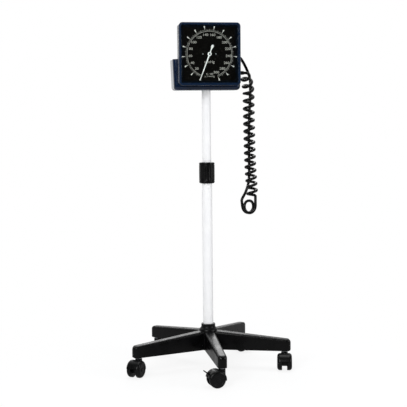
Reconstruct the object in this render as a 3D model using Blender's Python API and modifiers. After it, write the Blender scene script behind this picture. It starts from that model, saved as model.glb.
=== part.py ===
"""Stand aneroid sphygmomanometer.

A square aneroid gauge in front of an open basket, on a telescopic mast over a five-leg star
base with twin-wheel casters, and a curled air hose beside the basket. Metres, +Z up, the gauge
faces -Y. Every place is measured from the mast's foot on the floor, which an empty holds.
"""

import bpy
import bmesh
from math import acos, atan2, ceil, copysign, cos, hypot, pi, radians, sin
from mathutils import Matrix, Vector

for old_object in list(bpy.data.objects):
    bpy.data.objects.remove(old_object)

# Clearances
seat_gap = 0.0003
running_gap = 0.0002
thread_gap = 0.0005
overrun = 0.002
weld_distance = 0.00001
revolve_weld = 0.00005

# The mast stands a little off the middle of the footprint of the five casters
mast_offset_x = 0.0076
mast_offset_y = 0.0183

# Casters
leg_count = 5
front_leg_angle = radians(-90)
wheel_diameter = 0.040
wheel_width = 0.0122
wheel_round = 0.0028
wheel_dish_depth = 0.0016
wheel_dish_diameter = 0.029
wheel_cap_wall = 0.0018
caster_width = 0.037
caster_trail = 0.0145
axle_diameter = 0.005
stem_diameter = 0.011
stem_length = 0.020
stem_tip_chamfer = 0.0015
stem_flange_diameter = 0.0145
stem_flange_thickness = 0.0014
stem_neck = 0.0034
spigot_diameter = 0.007
spigot_length = 0.014
hood_clearance = 0.0008
hood_wall = 0.0018
hood_side_gap = 0.0004
caster_boss_diameter = 0.017
caster_boss_depth = 0.013
caster_cap_rise = 0.0006
axle_lug_diameter = 0.019
hood_start_angle = radians(14)
hood_end_angle = radians(186)

# Where each caster trails, by leg, counted from the front leg round through the right
caster_headings = (radians(190), radians(-103), radians(-62), radians(10), radians(-122))

# Brake lever on the front caster
brake_pin_reach = 0.0152
brake_pin_angle = radians(36)
brake_pin_diameter = 0.0022
brake_slot_width = 0.005
brake_arm_width = 0.0044
brake_arm_thickness = 0.0030
brake_arm_length = 0.0125
brake_pad_width = 0.015
brake_pad_length = 0.0085
brake_pad_thickness = 0.0024
brake_pad_round = 0.0028
brake_slot_rise = radians(24)
brake_slot_drop = radians(52)

# Star base
leg_reach = 0.207
caster_inset = 0.0155
leg_root_width = 0.027
leg_tip_width = 0.022
leg_root_depth = 0.049
leg_tip_depth = 0.030
leg_edge_round = 0.0045
leg_edge_share = 0.8
leg_tip_round_share = 0.45
leg_wall = 0.003
leg_rib = 0.0025
leg_pocket_count = 3
leg_tip_block = 0.031
hub_diameter = 0.0465
hub_collar_diameter = 0.035
hub_height = 0.0645
hub_collar_height = 0.0085
hub_flare_height = 0.006
hub_chamfer = 0.0012
hub_web = 0.009
hub_foot_rise = 0.0005
stem_boss_diameter = 0.0185
stem_boss_height = 0.001

# Mast bolt
bolt_diameter = 0.008
bolt_length = 0.027
bolt_head_across = 0.013
bolt_head_sides = 6
bolt_head_height = 0.0053
bolt_tip_chamfer = 0.0008
bolt_flange_diameter = 0.022
bolt_flange_thickness = 0.0016
tube_plug_length = 0.024

# Mast tubes
tube_wall = 0.0012
lower_tube_diameter = 0.025
lower_tube_length = 0.440
upper_tube_diameter = 0.022
upper_tube_length = 0.452
mast_plug_flange = 0.003
mast_plug_spigot = 0.016
mast_plug_running_gap = 0.00025

# Locking collar, its sleeve and collet
collar_diameter = 0.0386
collar_height = 0.0522
collar_drop = 0.0320
collar_wall = 0.0030
collar_chamfer = 0.0022
collar_flute_count = 12
collar_flute_depth = 0.0006
collar_groove_depth = 0.0008
collar_groove_width = 0.0016
collar_groove_inset = 0.0070
sleeve_foot_inset = 0.004
sleeve_lip = 0.003
collet_height = 0.0115
collet_foot_wall = 0.0038
collet_top_wall = 0.0022
collet_slot_width = 0.002
collet_slot_count = 4
collet_slot_depth = 0.008

# Basket
basket_floor_height = 0.6925
basket_height = 0.0755
basket_top_width = 0.170
basket_bottom_width = 0.164
basket_depth = 0.062
basket_front = 0.0245
basket_wall = 0.0025
basket_corner_round = 0.010
basket_bottom_round = 0.0085

# Socket that carries the basket on the mast
socket_height = 0.024
socket_cup_wall = 0.0030
socket_top_wall = 0.002
socket_flange_length = 0.050
socket_flange_width = 0.029
socket_flange_thickness = 0.003
socket_flange_round = 0.005
socket_rivet_spread_x = 0.0200
socket_rivet_spread_y = 0.0090

# Rivets of the socket and of the hinge
rivet_diameter = 0.0026
rivet_head_diameter = 0.0046
rivet_head_height = 0.0008
rivet_grip = 0.0018

# Gauge head
gauge_width = 0.150
gauge_corner_round = 0.0095
gauge_front = 0.0637
gauge_centre_height = 0.0853
gauge_case_depth = 0.0245
gauge_case_wall = 0.0025
gauge_back_round = 0.004
bezel_depth = 0.0082
bezel_front_round = 0.0014
bezel_lens_depth = 0.0040
bezel_face_width = 0.0051
bezel_ledge_width = 0.0016
bezel_inner_round_share = 0.6
lens_thickness = 0.0020
dial_inset = 0.0032
dial_thickness = 0.0010
dial_screw_spread = 0.016
dial_screw_diameter = 0.0016
dial_screw_head_diameter = 0.0034
dial_screw_head_height = 0.0007
dial_screw_grip = 0.003

# Pointer
pointer_zero_angle = radians(249.1)
pointer_sweep = radians(318.2)
pointer_tip_gap = 0.0029
pointer_tip_width = 0.0010
pointer_root_width = 0.0026
pointer_tail_length = 0.0235
pointer_tail_neck = 0.0016
pointer_spade_width = 0.0052
pointer_spade_share = 0.42
pointer_spade_shoulder = 0.8
pointer_spade_end = 0.35
pointer_hub_diameter = 0.0095
pointer_thickness = 0.0008
pointer_lift = 0.0017

# Movement
capsule_diameter = 0.044
capsule_height = 0.0072
capsule_ripple_count = 3
capsule_ripple_height = 0.0006
capsule_rim_share = 0.3
capsule_seam_share = 0.4
capsule_stud_diameter = 0.005
capsule_stud_height = 0.001
capsule_nipple_diameter = 0.004
capsule_nipple_length = 0.005
movement_offset_y = -0.0065
movement_plate_width = 0.056
movement_plate_height = 0.042
movement_plate_round = 0.005
movement_plate_thickness = 0.001
movement_post_height = 0.0090
movement_gear_space = 0.0055
movement_post_diameter = 0.004
movement_post_inset = 0.004
gear_module = 0.0005
pinion_teeth = 10
sector_ratio = 7
sector_tooth_count = 13
gear_thickness = 0.0012
pinion_thickness_share = 1.5
gear_foot_clearance = 0.0006
gear_backlash_share = 0.10
addendum_share = 0.9
dedendum_share = 1.2
tooth_slope = 0.36
arbor_diameter = 0.0018
sector_hub_diameter = 0.005
hairspring_turns = 3
hairspring_points_per_turn = 8
hairspring_wire = 0.0005
hairspring_collet_diameter = 0.0056
hairspring_outer_diameter = 0.0195
hairspring_level_share = 0.68
dial_spacer_diameter = 0.0045

# Pressure port and the tube that feeds the capsule
port_height = -0.0445
port_depth = 0.0118
port_bore = 0.0052
port_flange_diameter = 0.011
port_flange_thickness = 0.0022
port_nipple_length = 0.0075
port_inner_length = 0.004
port_barb_swell = 1.2
port_barb_levels = (0.15, 0.55, 0.6)
feed_tube_diameter = 0.0032
feed_tube_end_share = 1.5
feed_tube_step_share = 1.6
feed_tube_bends = ((0.62, 0.62, 0.60), (0.36, 0.22, 0.20))

# Tilt hinge behind the gauge
hinge_height = 0.0675
hinge_leaf_width = 0.044
hinge_leaf_height = 0.020
hinge_leaf_thickness = 0.0014
hinge_knuckle_diameter = 0.0054
hinge_pin_diameter = 0.0024
hinge_middle_length = 0.016
hinge_rivet_spread = 0.0150
hinge_rivet_drop = 0.0125

# Hose
hose_diameter = 0.0070
coil_radius = 0.0116
coil_points_per_turn = 8
coil_top_pitch = 0.0205
coil_bottom_pitch = 0.0165
coil_start_share = 1.5
loop_points_per_turn = 24
loop_outer_radius = 0.0160
loop_inner_radius = 0.0101
loop_layer_step = 0.0079
loop_stretch_share = 1.26
loop_turns_per_layer = 0.75
loop_climb_turns = 0.5
loop_drop_share = 0.95
strand_gap = 0.0033
strand_step_share = 2.5
neighbour_points = 12

# Bends of the curls' middle line: out from the side that the hose hangs beside, back from the
# port and up from it
coil_first_bend = (0.007, 0.004, -0.003)
coil_bends = (
    (0.0122, 0.0165, -0.0203), (0.0182, 0.0285, -0.0443), (0.0197, 0.0335, -0.0833),
    (0.0212, 0.0335, -0.1733), (0.0232, 0.0335, -0.2333), (0.0267, 0.0335, -0.2853),
    (0.0277, 0.0335, -0.3033),
)

# Bends of the strand behind the curls: out from the same side and up from the port
strand_bends = (
    (0.0167, -0.2913), (0.0237, -0.2633), (0.0247, -0.2133), (0.0242, -0.1533),
    (0.0262, -0.0933), (0.0282, -0.0533),
)

# Bends of the strand over the basket's rim: out from the basket, back and up from the connector
rim_bends = (
    (0.0290, -0.0080, -0.05585), (0.0255, -0.0065, -0.03885), (0.0160, -0.0030, -0.01485),
    (0.0030, 0.0000, 0.00415),
)

# Bulb, valve and cuff in the basket
bulb_diameter = 0.042
bulb_height = 0.058
bulb_neck_diameter = 0.015
bulb_fullness = 0.8
bulb_rows = 9
bulb_place_x = -0.052
bulb_place_y = 0.0065
inlet_valve_diameter = 0.012
inlet_valve_height = 0.0045
inlet_valve_chamfer = 0.001
valve_diameter = 0.0125
valve_height = 0.016
valve_barb_diameter = 0.0056
valve_barb_length = 0.0105
valve_barb_share = 0.4
valve_end_share = 0.8
valve_top_chamfer_share = 0.2
valve_foot_chamfer_share = 0.4
valve_screw_diameter = 0.011
valve_screw_height = 0.0065
valve_screw_stem_diameter = 0.005
valve_screw_stem_length = 0.006
valve_screw_ridge_count = 12
valve_screw_ridge_depth = 0.0005
valve_screw_edge_share = 0.15
small_hose_diameter = 0.0052
bulb_hose_mouth = (0.0330, -0.0060)
cuff_hose_mouth = (0.0325, 0.0125)
cuff_left = 0.0256
cuff_length = 0.0475
cuff_front = -0.0158
cuff_width = 0.0445
cuff_height = 0.0700
cuff_fold_count = 6
cuff_fold_crease = 0.0022
cuff_fold_turns = (-0.38, -0.20, 0.00, 0.20, 0.38)
cuff_fold_spread = 1.25
connector_diameter = 0.008
connector_length = 0.020
connector_grip_diameter = 0.0105
connector_end_x = 0.0660
connector_place_y = 0.022
connector_cone_share = 0.20
connector_neck_share = 0.30
connector_grip_share = 0.35
small_hose_step_share = 1.5

# Facets of round shapes; a wheel has a multiple of four, and a flat one stands on the floor
wheel_steps = 16
tube_steps = 28
inner_steps = 20
socket_steps = 16
small_steps = 12
fine_steps = 8
post_steps = 6
corner_steps = 4
edge_steps = 2
curve_samples = 24
sharp_angle = radians(35)

# Sizes that follow
wheel_radius = wheel_diameter / 2
axle_radius = axle_diameter / 2
axle_height = wheel_radius * cos(pi / wheel_steps)
hood_inner_radius = wheel_radius + hood_clearance
hood_radius = hood_inner_radius + hood_wall
caster_cap_top = axle_height + hood_radius + caster_cap_rise
leg_underside = caster_cap_top + stem_neck
caster_circle_radius = leg_reach - caster_inset
caster_web_width = caster_width - 2 * wheel_width - 2 * running_gap
hub_top = leg_underside + hub_height
hub_web_top = leg_underside + hub_web
hub_foot = leg_underside - hub_foot_rise
leg_start = lower_tube_diameter / 2
lower_tube_radius = lower_tube_diameter / 2
lower_tube_bore = lower_tube_radius - tube_wall
upper_tube_radius = upper_tube_diameter / 2
upper_tube_bore = upper_tube_radius - tube_wall
lower_tube_foot = hub_web_top + seat_gap
lower_tube_top = lower_tube_foot + lower_tube_length
collar_foot = lower_tube_top - collar_drop
collar_top = collar_foot + collar_height
basket_inner_floor = basket_floor_height + basket_wall
basket_rim = basket_floor_height + basket_height
basket_middle_y = basket_depth / 2 - basket_front
socket_foot = basket_inner_floor + seat_gap
socket_cup_radius = upper_tube_radius + seat_gap + socket_cup_wall
upper_tube_top = socket_foot + socket_height - socket_top_wall - seat_gap
upper_tube_foot = upper_tube_top - upper_tube_length
gauge_depth = gauge_case_depth + seat_gap + bezel_depth
gauge_back = gauge_depth - gauge_front
gauge_centre_z = basket_floor_height + gauge_centre_height
pointer_length = gauge_width / 2 - bezel_face_width - pointer_tip_gap
hinge_gap = -gauge_back - basket_front
hinge_y = (gauge_back - basket_front) / 2
hinge_z = basket_floor_height + hinge_height

parts = bpy.data.collections.new("stand_sphygmomanometer")
cutters = bpy.data.collections.new("cutters")
bpy.context.scene.collection.children.link(parts)
bpy.context.scene.collection.children.link(cutters)

# Materials


def material(name, colour, roughness, metallic=0.0):
    made = bpy.data.materials.get(name)
    if made is None:
        made = bpy.data.materials.new(name)
        made.use_nodes = True
        shader = made.node_tree.nodes["Principled BSDF"]
        shader.inputs["Base Color"].default_value = (*colour, 1.0)
        shader.inputs["Roughness"].default_value = roughness
        shader.inputs["Metallic"].default_value = metallic
    return made


black_nylon = material("black_nylon", (0.012, 0.012, 0.013), 0.42)
wheel_black = material("wheel_black", (0.016, 0.016, 0.017), 0.5)
white_tube = material("white_tube", (0.86, 0.86, 0.86), 0.22)
navy_plastic = material("navy_plastic", (0.018, 0.032, 0.075), 0.35)
dial_black = material("dial_black", (0.006, 0.005, 0.005), 0.6)
pointer_white = material("pointer_white", (0.85, 0.85, 0.84), 0.4)
white_nylon = material("white_nylon", (0.85, 0.85, 0.84), 0.5)
clear_plastic = material("clear_plastic", (0.9, 0.92, 0.93), 0.05)
zinc_steel = material("zinc_steel", (0.55, 0.56, 0.57), 0.35, 1.0)
movement_brass = material("movement_brass", (0.62, 0.45, 0.18), 0.3, 1.0)
hose_black = material("hose_black", (0.010, 0.010, 0.010), 0.3)
bulb_black = material("bulb_black", (0.014, 0.014, 0.014), 0.5)
cuff_nylon = material("cuff_nylon", (0.02, 0.03, 0.07), 0.85)

# Shaping tools


def put(name, data, look, parent=None, place=(0, 0, 0), turn=(0, 0, 0)):
    """Link a mesh or curve as a named part under its parent."""
    thing = bpy.data.objects.new(name, data)
    parts.objects.link(thing)
    thing.parent = parent
    thing.location = place
    thing.rotation_euler = turn
    if look is not None and not data.materials:
        data.materials.append(look)
    if isinstance(data, bpy.types.Mesh):
        data.shade_smooth()
        data.set_sharp_from_angle(angle=sharp_angle)
    return thing


def empty(name, parent=None, place=(0, 0, 0), turn=(0, 0, 0)):
    """Make an empty that carries the pieces of one body."""
    holder = bpy.data.objects.new(name, None)
    parts.objects.link(holder)
    holder.parent = parent
    holder.location = place
    holder.rotation_euler = turn
    return holder


def guide(name, data, parent=None, place=(0, 0, 0), turn=(0, 0, 0)):
    """Link a mesh as a shape that only joins or cuts another piece."""
    shape = bpy.data.objects.new(name, data)
    cutters.objects.link(shape)
    shape.parent = parent
    shape.location = place
    shape.rotation_euler = turn
    shape.hide_render = True
    shape.display_type = "WIRE"
    return shape


def combine(target, other, operation):
    """Join, cut or intersect a piece with another shape."""
    modifier = target.modifiers.new(other.name, "BOOLEAN")
    modifier.operation = operation
    modifier.solver = "EXACT"
    modifier.object = other


def baked(thing):
    """Turn a piece with its modifiers into one plain mesh and remove the piece."""
    bpy.context.view_layer.update()
    evaluated = thing.evaluated_get(bpy.context.evaluated_depsgraph_get())
    mesh = bpy.data.meshes.new_from_object(evaluated)
    mesh.name = thing.name
    body = bmesh.new()
    body.from_mesh(mesh)
    bmesh.ops.remove_doubles(body, verts=body.verts, dist=weld_distance)
    body.to_mesh(mesh)
    body.free()
    bpy.data.objects.remove(thing)
    return mesh


def turned(name, profile, steps):
    """Revolve a profile of radius and height, listed down its outer side, into a mesh."""
    mesh = bpy.data.meshes.new(name)
    points = [(radius, 0, height) for radius, height in profile]
    mesh.from_pydata(points, [(i, i + 1) for i in range(len(points) - 1)], [])
    thing = bpy.data.objects.new(name, mesh)
    parts.objects.link(thing)
    screw = thing.modifiers.new("revolve", "SCREW")
    screw.angle = 2 * pi
    screw.steps = steps
    screw.render_steps = steps
    screw.use_merge_vertices = True
    screw.merge_threshold = revolve_weld
    return baked(thing)


def ring(name, profile, steps):
    """Revolve a closed profile that does not reach the axis."""
    return turned(name, [*profile, profile[0]], steps)


def plate(name, outlines, thickness):
    """Fill flat outlines, the first outer and the rest holes, to a plate standing on z = 0."""
    curve = bpy.data.curves.new(name, "CURVE")
    curve.dimensions = "2D"
    curve.fill_mode = "BOTH"
    curve.extrude = thickness / 2
    for outline in outlines:
        spline = curve.splines.new("POLY")
        spline.points.add(len(outline) - 1)
        for point, (x, y) in zip(spline.points, outline):
            point.co = (x, y, 0, 1)
        spline.use_cyclic_u = True
    thing = bpy.data.objects.new(name, curve)
    parts.objects.link(thing)
    mesh = baked(thing)
    mesh.transform(Matrix.Translation((0, 0, thickness / 2)))
    return mesh


def circle(radius, steps, centre=(0, 0)):
    """Points round a circle."""
    angles = [2 * pi * i / steps for i in range(steps)]
    return [(centre[0] + radius * cos(a), centre[1] + radius * sin(a)) for a in angles]


def arc(radius, start, end, steps, centre=(0, 0)):
    """Points along an arc, both ends included."""
    angles = [start + (end - start) * i / steps for i in range(steps + 1)]
    return [(centre[0] + radius * cos(a), centre[1] + radius * sin(a)) for a in angles]


def rounded_rectangle(width, height, radius, steps=corner_steps, centre=(0, 0)):
    """Outline of a rectangle with round corners."""
    outline = []
    for turn, (side_x, side_y) in enumerate(((1, 1), (-1, 1), (-1, -1), (1, -1))):
        corner = (
            centre[0] + side_x * (width / 2 - radius),
            centre[1] + side_y * (height / 2 - radius),
        )
        outline += arc(radius, turn * pi / 2, (turn + 1) * pi / 2, steps, corner)
    return outline


def tube_curve(name, points, diameter, resolution):
    """A round tube along points, as a curve with closed ends."""
    curve = bpy.data.curves.new(name, "CURVE")
    curve.dimensions = "3D"
    curve.bevel_depth = diameter / 2
    curve.bevel_resolution = resolution
    curve.use_fill_caps = True
    spline = curve.splines.new("POLY")
    spline.points.add(len(points) - 1)
    for point, place in zip(spline.points, points):
        point.co = (*place, 1)
    return curve


def smooth_route(points, spacing):
    """Even points on a smooth curve through the places, its first and last stretch straight."""
    knots = [Vector(p) for p in points]
    fine = []
    for i in range(1, len(knots) - 2):
        a, b, c, d = knots[i - 1 : i + 3]
        for k in range(curve_samples):
            t = k / curve_samples
            fine.append(
                (2 * b + (c - a) * t + (2 * a - 5 * b + 4 * c - d) * t**2
                 + (3 * b - a - 3 * c + d) * t**3) / 2
            )
    fine.append(knots[-2])
    lengths = [0.0]
    for a, b in zip(fine, fine[1:]):
        lengths.append(lengths[-1] + (b - a).length)
    count = ceil(lengths[-1] / spacing)
    route = [knots[0]]
    index = 0
    for k in range(count + 1):
        wanted = lengths[-1] * k / count
        while index < len(fine) - 2 and lengths[index + 1] < wanted:
            index += 1
        share = (wanted - lengths[index]) / (lengths[index + 1] - lengths[index])
        route.append(fine[index].lerp(fine[index + 1], share))
    return [*route, knots[-1]]


def along_x(mesh):
    """Lay a turned mesh along +X."""
    mesh.transform(Matrix.Rotation(pi / 2, 4, "Y"))
    return mesh


def along_y(mesh):
    """Lay a turned mesh along +Y."""
    mesh.transform(Matrix.Rotation(-pi / 2, 4, "X"))
    return mesh


def rod(name, radius, low, high, steps, chamfer=0.0):
    """A solid round bar from one height to another, with its upper edge broken if asked."""
    profile = [(0, high), (radius - chamfer, high)]
    if chamfer:
        profile.append((radius, high - chamfer))
    profile += [(radius, low), (0, low)]
    return turned(name, profile, steps)


def merged(name, meshes):
    """Put several separate solids in one mesh."""
    body = bmesh.new()
    for mesh in meshes:
        body.from_mesh(mesh)
    mesh = bpy.data.meshes.new(name)
    body.to_mesh(mesh)
    body.free()
    return mesh


def moved(mesh, place):
    """A copy of a mesh at another place."""
    copy = mesh.copy()
    copy.transform(Matrix.Translation(place))
    return copy


# Star base


def leg_width(reach):
    return leg_root_width + (leg_tip_width - leg_root_width) * reach / leg_reach


def leg_depth(reach):
    return leg_root_depth + (leg_tip_depth - leg_root_depth) * reach / leg_reach


def leg_section(reach, half, top, edge_round):
    """Outline across a leg at one reach: flat below, round along both upper edges."""
    edge = min(edge_round, half * leg_edge_share)
    points = [(-half, leg_underside), (half, leg_underside)]
    points += arc(edge, 0, pi / 2, edge_steps, (half - edge, top - edge))
    points += arc(edge, pi / 2, pi, edge_steps, (edge - half, top - edge))
    return [(reach, y, z) for y, z in points]


def leg_mesh():
    """One tapered leg: sections from inside the hub to the rounded tip, joined by faces."""
    tip_round = leg_tip_width * leg_tip_round_share
    stations = [(leg_start, 0.0)]
    for index in range(corner_steps + 1):
        angle = pi / 2 * index / corner_steps
        stations.append((leg_reach - tip_round + tip_round * sin(angle),
                         tip_round * (1 - cos(angle))))
    rows = []
    for reach, narrowing in stations:
        overlap = max(0.0, reach - leg_reach + leg_edge_round)
        drop = leg_edge_round - (leg_edge_round**2 - overlap**2) ** 0.5
        top = leg_underside + leg_depth(reach) - drop
        rows.append(leg_section(reach, leg_width(reach) / 2 - narrowing, top, leg_edge_round))
    points = [point for row in rows for point in row]
    across = len(rows[0])
    faces = [tuple(range(across))[::-1], tuple(range(len(points) - across, len(points)))]
    for row in range(len(rows) - 1):
        for index in range(across):
            ahead = (index + 1) % across
            faces.append((row * across + index, row * across + ahead,
                          (row + 1) * across + ahead, (row + 1) * across + index))
    mesh = bpy.data.meshes.new("leg")
    mesh.from_pydata(points, [], faces)
    return mesh


def leg_pocket(inner, outer):
    """Tapered block that hollows a leg from below between two reaches."""
    body = bmesh.new()
    bmesh.ops.create_cube(body, size=1)
    for vertex in body.verts:
        reach = outer if vertex.co.x > 0 else inner
        top = leg_underside + leg_depth(reach) - leg_wall
        vertex.co = (
            reach,
            copysign(leg_width(reach) / 2 - leg_wall, vertex.co.y),
            top if vertex.co.z > 0 else leg_underside - overrun,
        )
    mesh = bpy.data.meshes.new("leg_pocket")
    body.to_mesh(mesh)
    body.free()
    return mesh


def leg_angle(index):
    return front_leg_angle + 2 * pi * index / leg_count


def make_base_star(stand):
    """Moulded five-leg base: hub, ribbed hollow legs, stem sockets and the mast's bore."""
    hub_radius = hub_diameter / 2
    collar_radius = hub_collar_diameter / 2
    hub_profile = [
        (0, hub_top),
        (collar_radius - hub_chamfer, hub_top),
        (collar_radius, hub_top - hub_chamfer),
        (collar_radius, hub_top - hub_collar_height),
        (hub_radius, hub_top - hub_collar_height - hub_flare_height),
        (hub_radius, hub_foot),
        (0, hub_foot),
    ]
    star = put("base_star", turned("base_star", hub_profile, tube_steps), black_nylon, stand)
    leg = leg_mesh()
    stem_boss = rod(
        "stem_boss", stem_boss_diameter / 2, leg_underside - stem_boss_height,
        leg_underside + leg_wall, small_steps,
    )
    stem_boss.transform(Matrix.Translation((caster_circle_radius, 0, 0)))
    first_pocket = hub_radius + leg_wall
    last_pocket = leg_reach - leg_tip_block
    pocket_length = (last_pocket - first_pocket + leg_rib) / leg_pocket_count
    hollows = []
    for index in range(leg_pocket_count):
        start = first_pocket + index * pocket_length
        hollows.append(leg_pocket(start, start + pocket_length - leg_rib))
    socket_radius = stem_diameter / 2 + running_gap
    socket = rod(
        "stem_socket", socket_radius, leg_underside - stem_boss_height - overrun,
        leg_underside + stem_length + seat_gap, socket_steps,
    )
    socket.transform(Matrix.Rotation(pi / socket_steps, 4, "Z"))
    hollows.append(moved(socket, (caster_circle_radius, 0, 0)))
    hollow_mesh = merged("leg_hollows", hollows)
    for index in range(leg_count):
        turn = (0, 0, leg_angle(index))
        combine(star, guide(f"leg_{index}", leg, stand, turn=turn), "UNION")
        combine(star, guide(f"stem_boss_{index}", stem_boss, stand, turn=turn), "UNION")
    for index in range(leg_count):
        turn = (0, 0, leg_angle(index))
        combine(star, guide(f"leg_hollow_{index}", hollow_mesh, stand, turn=turn), "DIFFERENCE")
    bore_radius = lower_tube_radius + seat_gap
    bolt_hole_radius = bolt_diameter / 2 + seat_gap
    bore_profile = [
        (0, hub_top + overrun),
        (bore_radius, hub_top + overrun),
        (bore_radius, hub_web_top),
        (bolt_hole_radius, hub_web_top),
        (bolt_hole_radius, hub_foot - overrun),
        (0, hub_foot - overrun),
    ]
    combine(star, guide("mast_bore", turned("mast_bore", bore_profile, tube_steps), stand),
            "DIFFERENCE")


def make_mast_bolt(stand):
    """Flanged hexagon bolt that draws the lower tube's plug down on the hub's web."""
    flange_top = hub_foot - seat_gap
    flange = bolt_flange_diameter / 2
    shank = bolt_diameter / 2
    bolt_tip = flange_top + bolt_length
    profile = [
        (0, bolt_tip),
        (shank - bolt_tip_chamfer, bolt_tip),
        (shank, bolt_tip - bolt_tip_chamfer),
        (shank, flange_top),
        (flange, flange_top),
        (flange, flange_top - bolt_flange_thickness),
        (0, flange_top - bolt_flange_thickness),
    ]
    bolt = put("mast_bolt", turned("mast_bolt", profile, small_steps), zinc_steel, stand)
    corner_radius = bolt_head_across / 2 / cos(pi / bolt_head_sides)
    head = plate("bolt_head", [circle(corner_radius, bolt_head_sides)],
                 bolt_head_height + bolt_flange_thickness / 2)
    head_foot = flange_top - bolt_flange_thickness - bolt_head_height
    combine(bolt, guide("bolt_head", head, stand, (0, 0, head_foot)), "UNION")


def make_lower_tube(stand):
    """Fixed tube of the mast, the threaded plug in its foot and the sleeve on its head."""
    tube_profile = [
        (lower_tube_bore, lower_tube_top),
        (lower_tube_radius, lower_tube_top),
        (lower_tube_radius, lower_tube_foot),
        (lower_tube_bore, lower_tube_foot),
    ]
    put("lower_tube", ring("lower_tube", tube_profile, tube_steps), white_tube, stand)
    plug_radius = lower_tube_bore - seat_gap
    hole_radius = bolt_diameter / 2 + seat_gap
    plug_profile = [
        (hole_radius, lower_tube_foot + tube_plug_length),
        (plug_radius, lower_tube_foot + tube_plug_length),
        (plug_radius, lower_tube_foot),
        (hole_radius, lower_tube_foot),
    ]
    put("tube_plug", ring("tube_plug", plug_profile, inner_steps), zinc_steel, stand)


def collar_sizes():
    """Radii and heights shared by the sleeve, the collet and the collar."""
    cavity_radius = collar_diameter / 2 - collar_wall
    sleeve_radius = cavity_radius - thread_gap
    sleeve_top = lower_tube_top + seat_gap + sleeve_lip
    collet_foot = sleeve_top + seat_gap
    collet_bore = upper_tube_radius + seat_gap
    return cavity_radius, sleeve_radius, sleeve_top, collet_foot, collet_bore


def make_collar(stand):
    """Threaded sleeve, slotted cone collet and the fluted collar that squeezes it."""
    cavity_radius, sleeve_radius, sleeve_top, collet_foot, collet_bore = collar_sizes()
    sleeve_profile = [
        (collet_bore, sleeve_top),
        (sleeve_radius, sleeve_top),
        (sleeve_radius, collar_foot + sleeve_foot_inset),
        (lower_tube_radius + seat_gap, collar_foot + sleeve_foot_inset),
        (lower_tube_radius + seat_gap, lower_tube_top + seat_gap),
        (collet_bore, lower_tube_top + seat_gap),
    ]
    put("collar_sleeve", ring("collar_sleeve", sleeve_profile, inner_steps), black_nylon, stand)
    collet_top = collet_foot + collet_height
    collet_profile = [
        (collet_bore, collet_top),
        (collet_bore + collet_top_wall, collet_top),
        (collet_bore + collet_foot_wall, collet_foot),
        (collet_bore, collet_foot),
    ]
    collet = put("grip_collet", ring("grip_collet", collet_profile, tube_steps), white_nylon,
                 stand)
    slot_mesh = merged("collet_slots", [
        slot_block(collet_top, 2 * pi * turn / collet_slot_count)
        for turn in range(collet_slot_count)
    ])
    combine(collet, guide("collet_slots", slot_mesh, stand), "DIFFERENCE")

    outer = collar_diameter / 2
    groove = outer - collar_groove_depth
    low_groove = collar_foot + collar_groove_inset
    high_groove = collar_top - collar_groove_inset
    rows = [
        (collet_bore, collar_top),
        (outer - collar_chamfer, collar_top),
        (outer, collar_top - collar_chamfer),
        (outer, high_groove + collar_groove_width),
        (groove, high_groove + collar_groove_width / 2),
        (outer, high_groove),
        (outer, low_groove),
        (groove, low_groove - collar_groove_width / 2),
        (outer, low_groove - collar_groove_width),
        (outer, collar_foot + collar_chamfer),
        (outer - collar_chamfer, collar_foot),
        (cavity_radius, collar_foot),
        (cavity_radius, collet_foot - seat_gap),
        (collet_bore + collet_foot_wall + seat_gap, collet_foot + seat_gap),
        (collet_bore + collet_top_wall + seat_gap, collet_top + seat_gap),
        (collet_bore, collet_top + seat_gap),
    ]
    steps = collar_flute_count * 2
    mesh = ring("locking_collar", rows, steps)
    flute_rows = (high_groove, low_groove)
    for vertex in mesh.vertices:
        radius = hypot(vertex.co.x, vertex.co.y)
        on_row = any(abs(vertex.co.z - row) < weld_distance for row in flute_rows)
        if on_row and abs(radius - outer) < weld_distance:
            step = round(atan2(vertex.co.y, vertex.co.x) / (2 * pi / steps))
            if step % 2:
                vertex.co.x *= (outer - collar_flute_depth) / outer
                vertex.co.y *= (outer - collar_flute_depth) / outer
    put("locking_collar", mesh, black_nylon, stand)


def slot_block(top, turn):
    """A thin block that saws one slot down a side of the collet."""
    body = bmesh.new()
    bmesh.ops.create_cube(body, size=1)
    reach = collar_diameter / 2
    for vertex in body.verts:
        vertex.co = (
            reach if vertex.co.x > 0 else upper_tube_radius / 2,
            copysign(collet_slot_width / 2, vertex.co.y),
            top + overrun if vertex.co.z > 0 else top - collet_slot_depth,
        )
    bmesh.ops.rotate(body, verts=body.verts, cent=(0, 0, 0), matrix=Matrix.Rotation(turn, 3, "Z"))
    mesh = bpy.data.meshes.new("collet_slot")
    body.to_mesh(mesh)
    body.free()
    return mesh


# Casters


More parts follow.
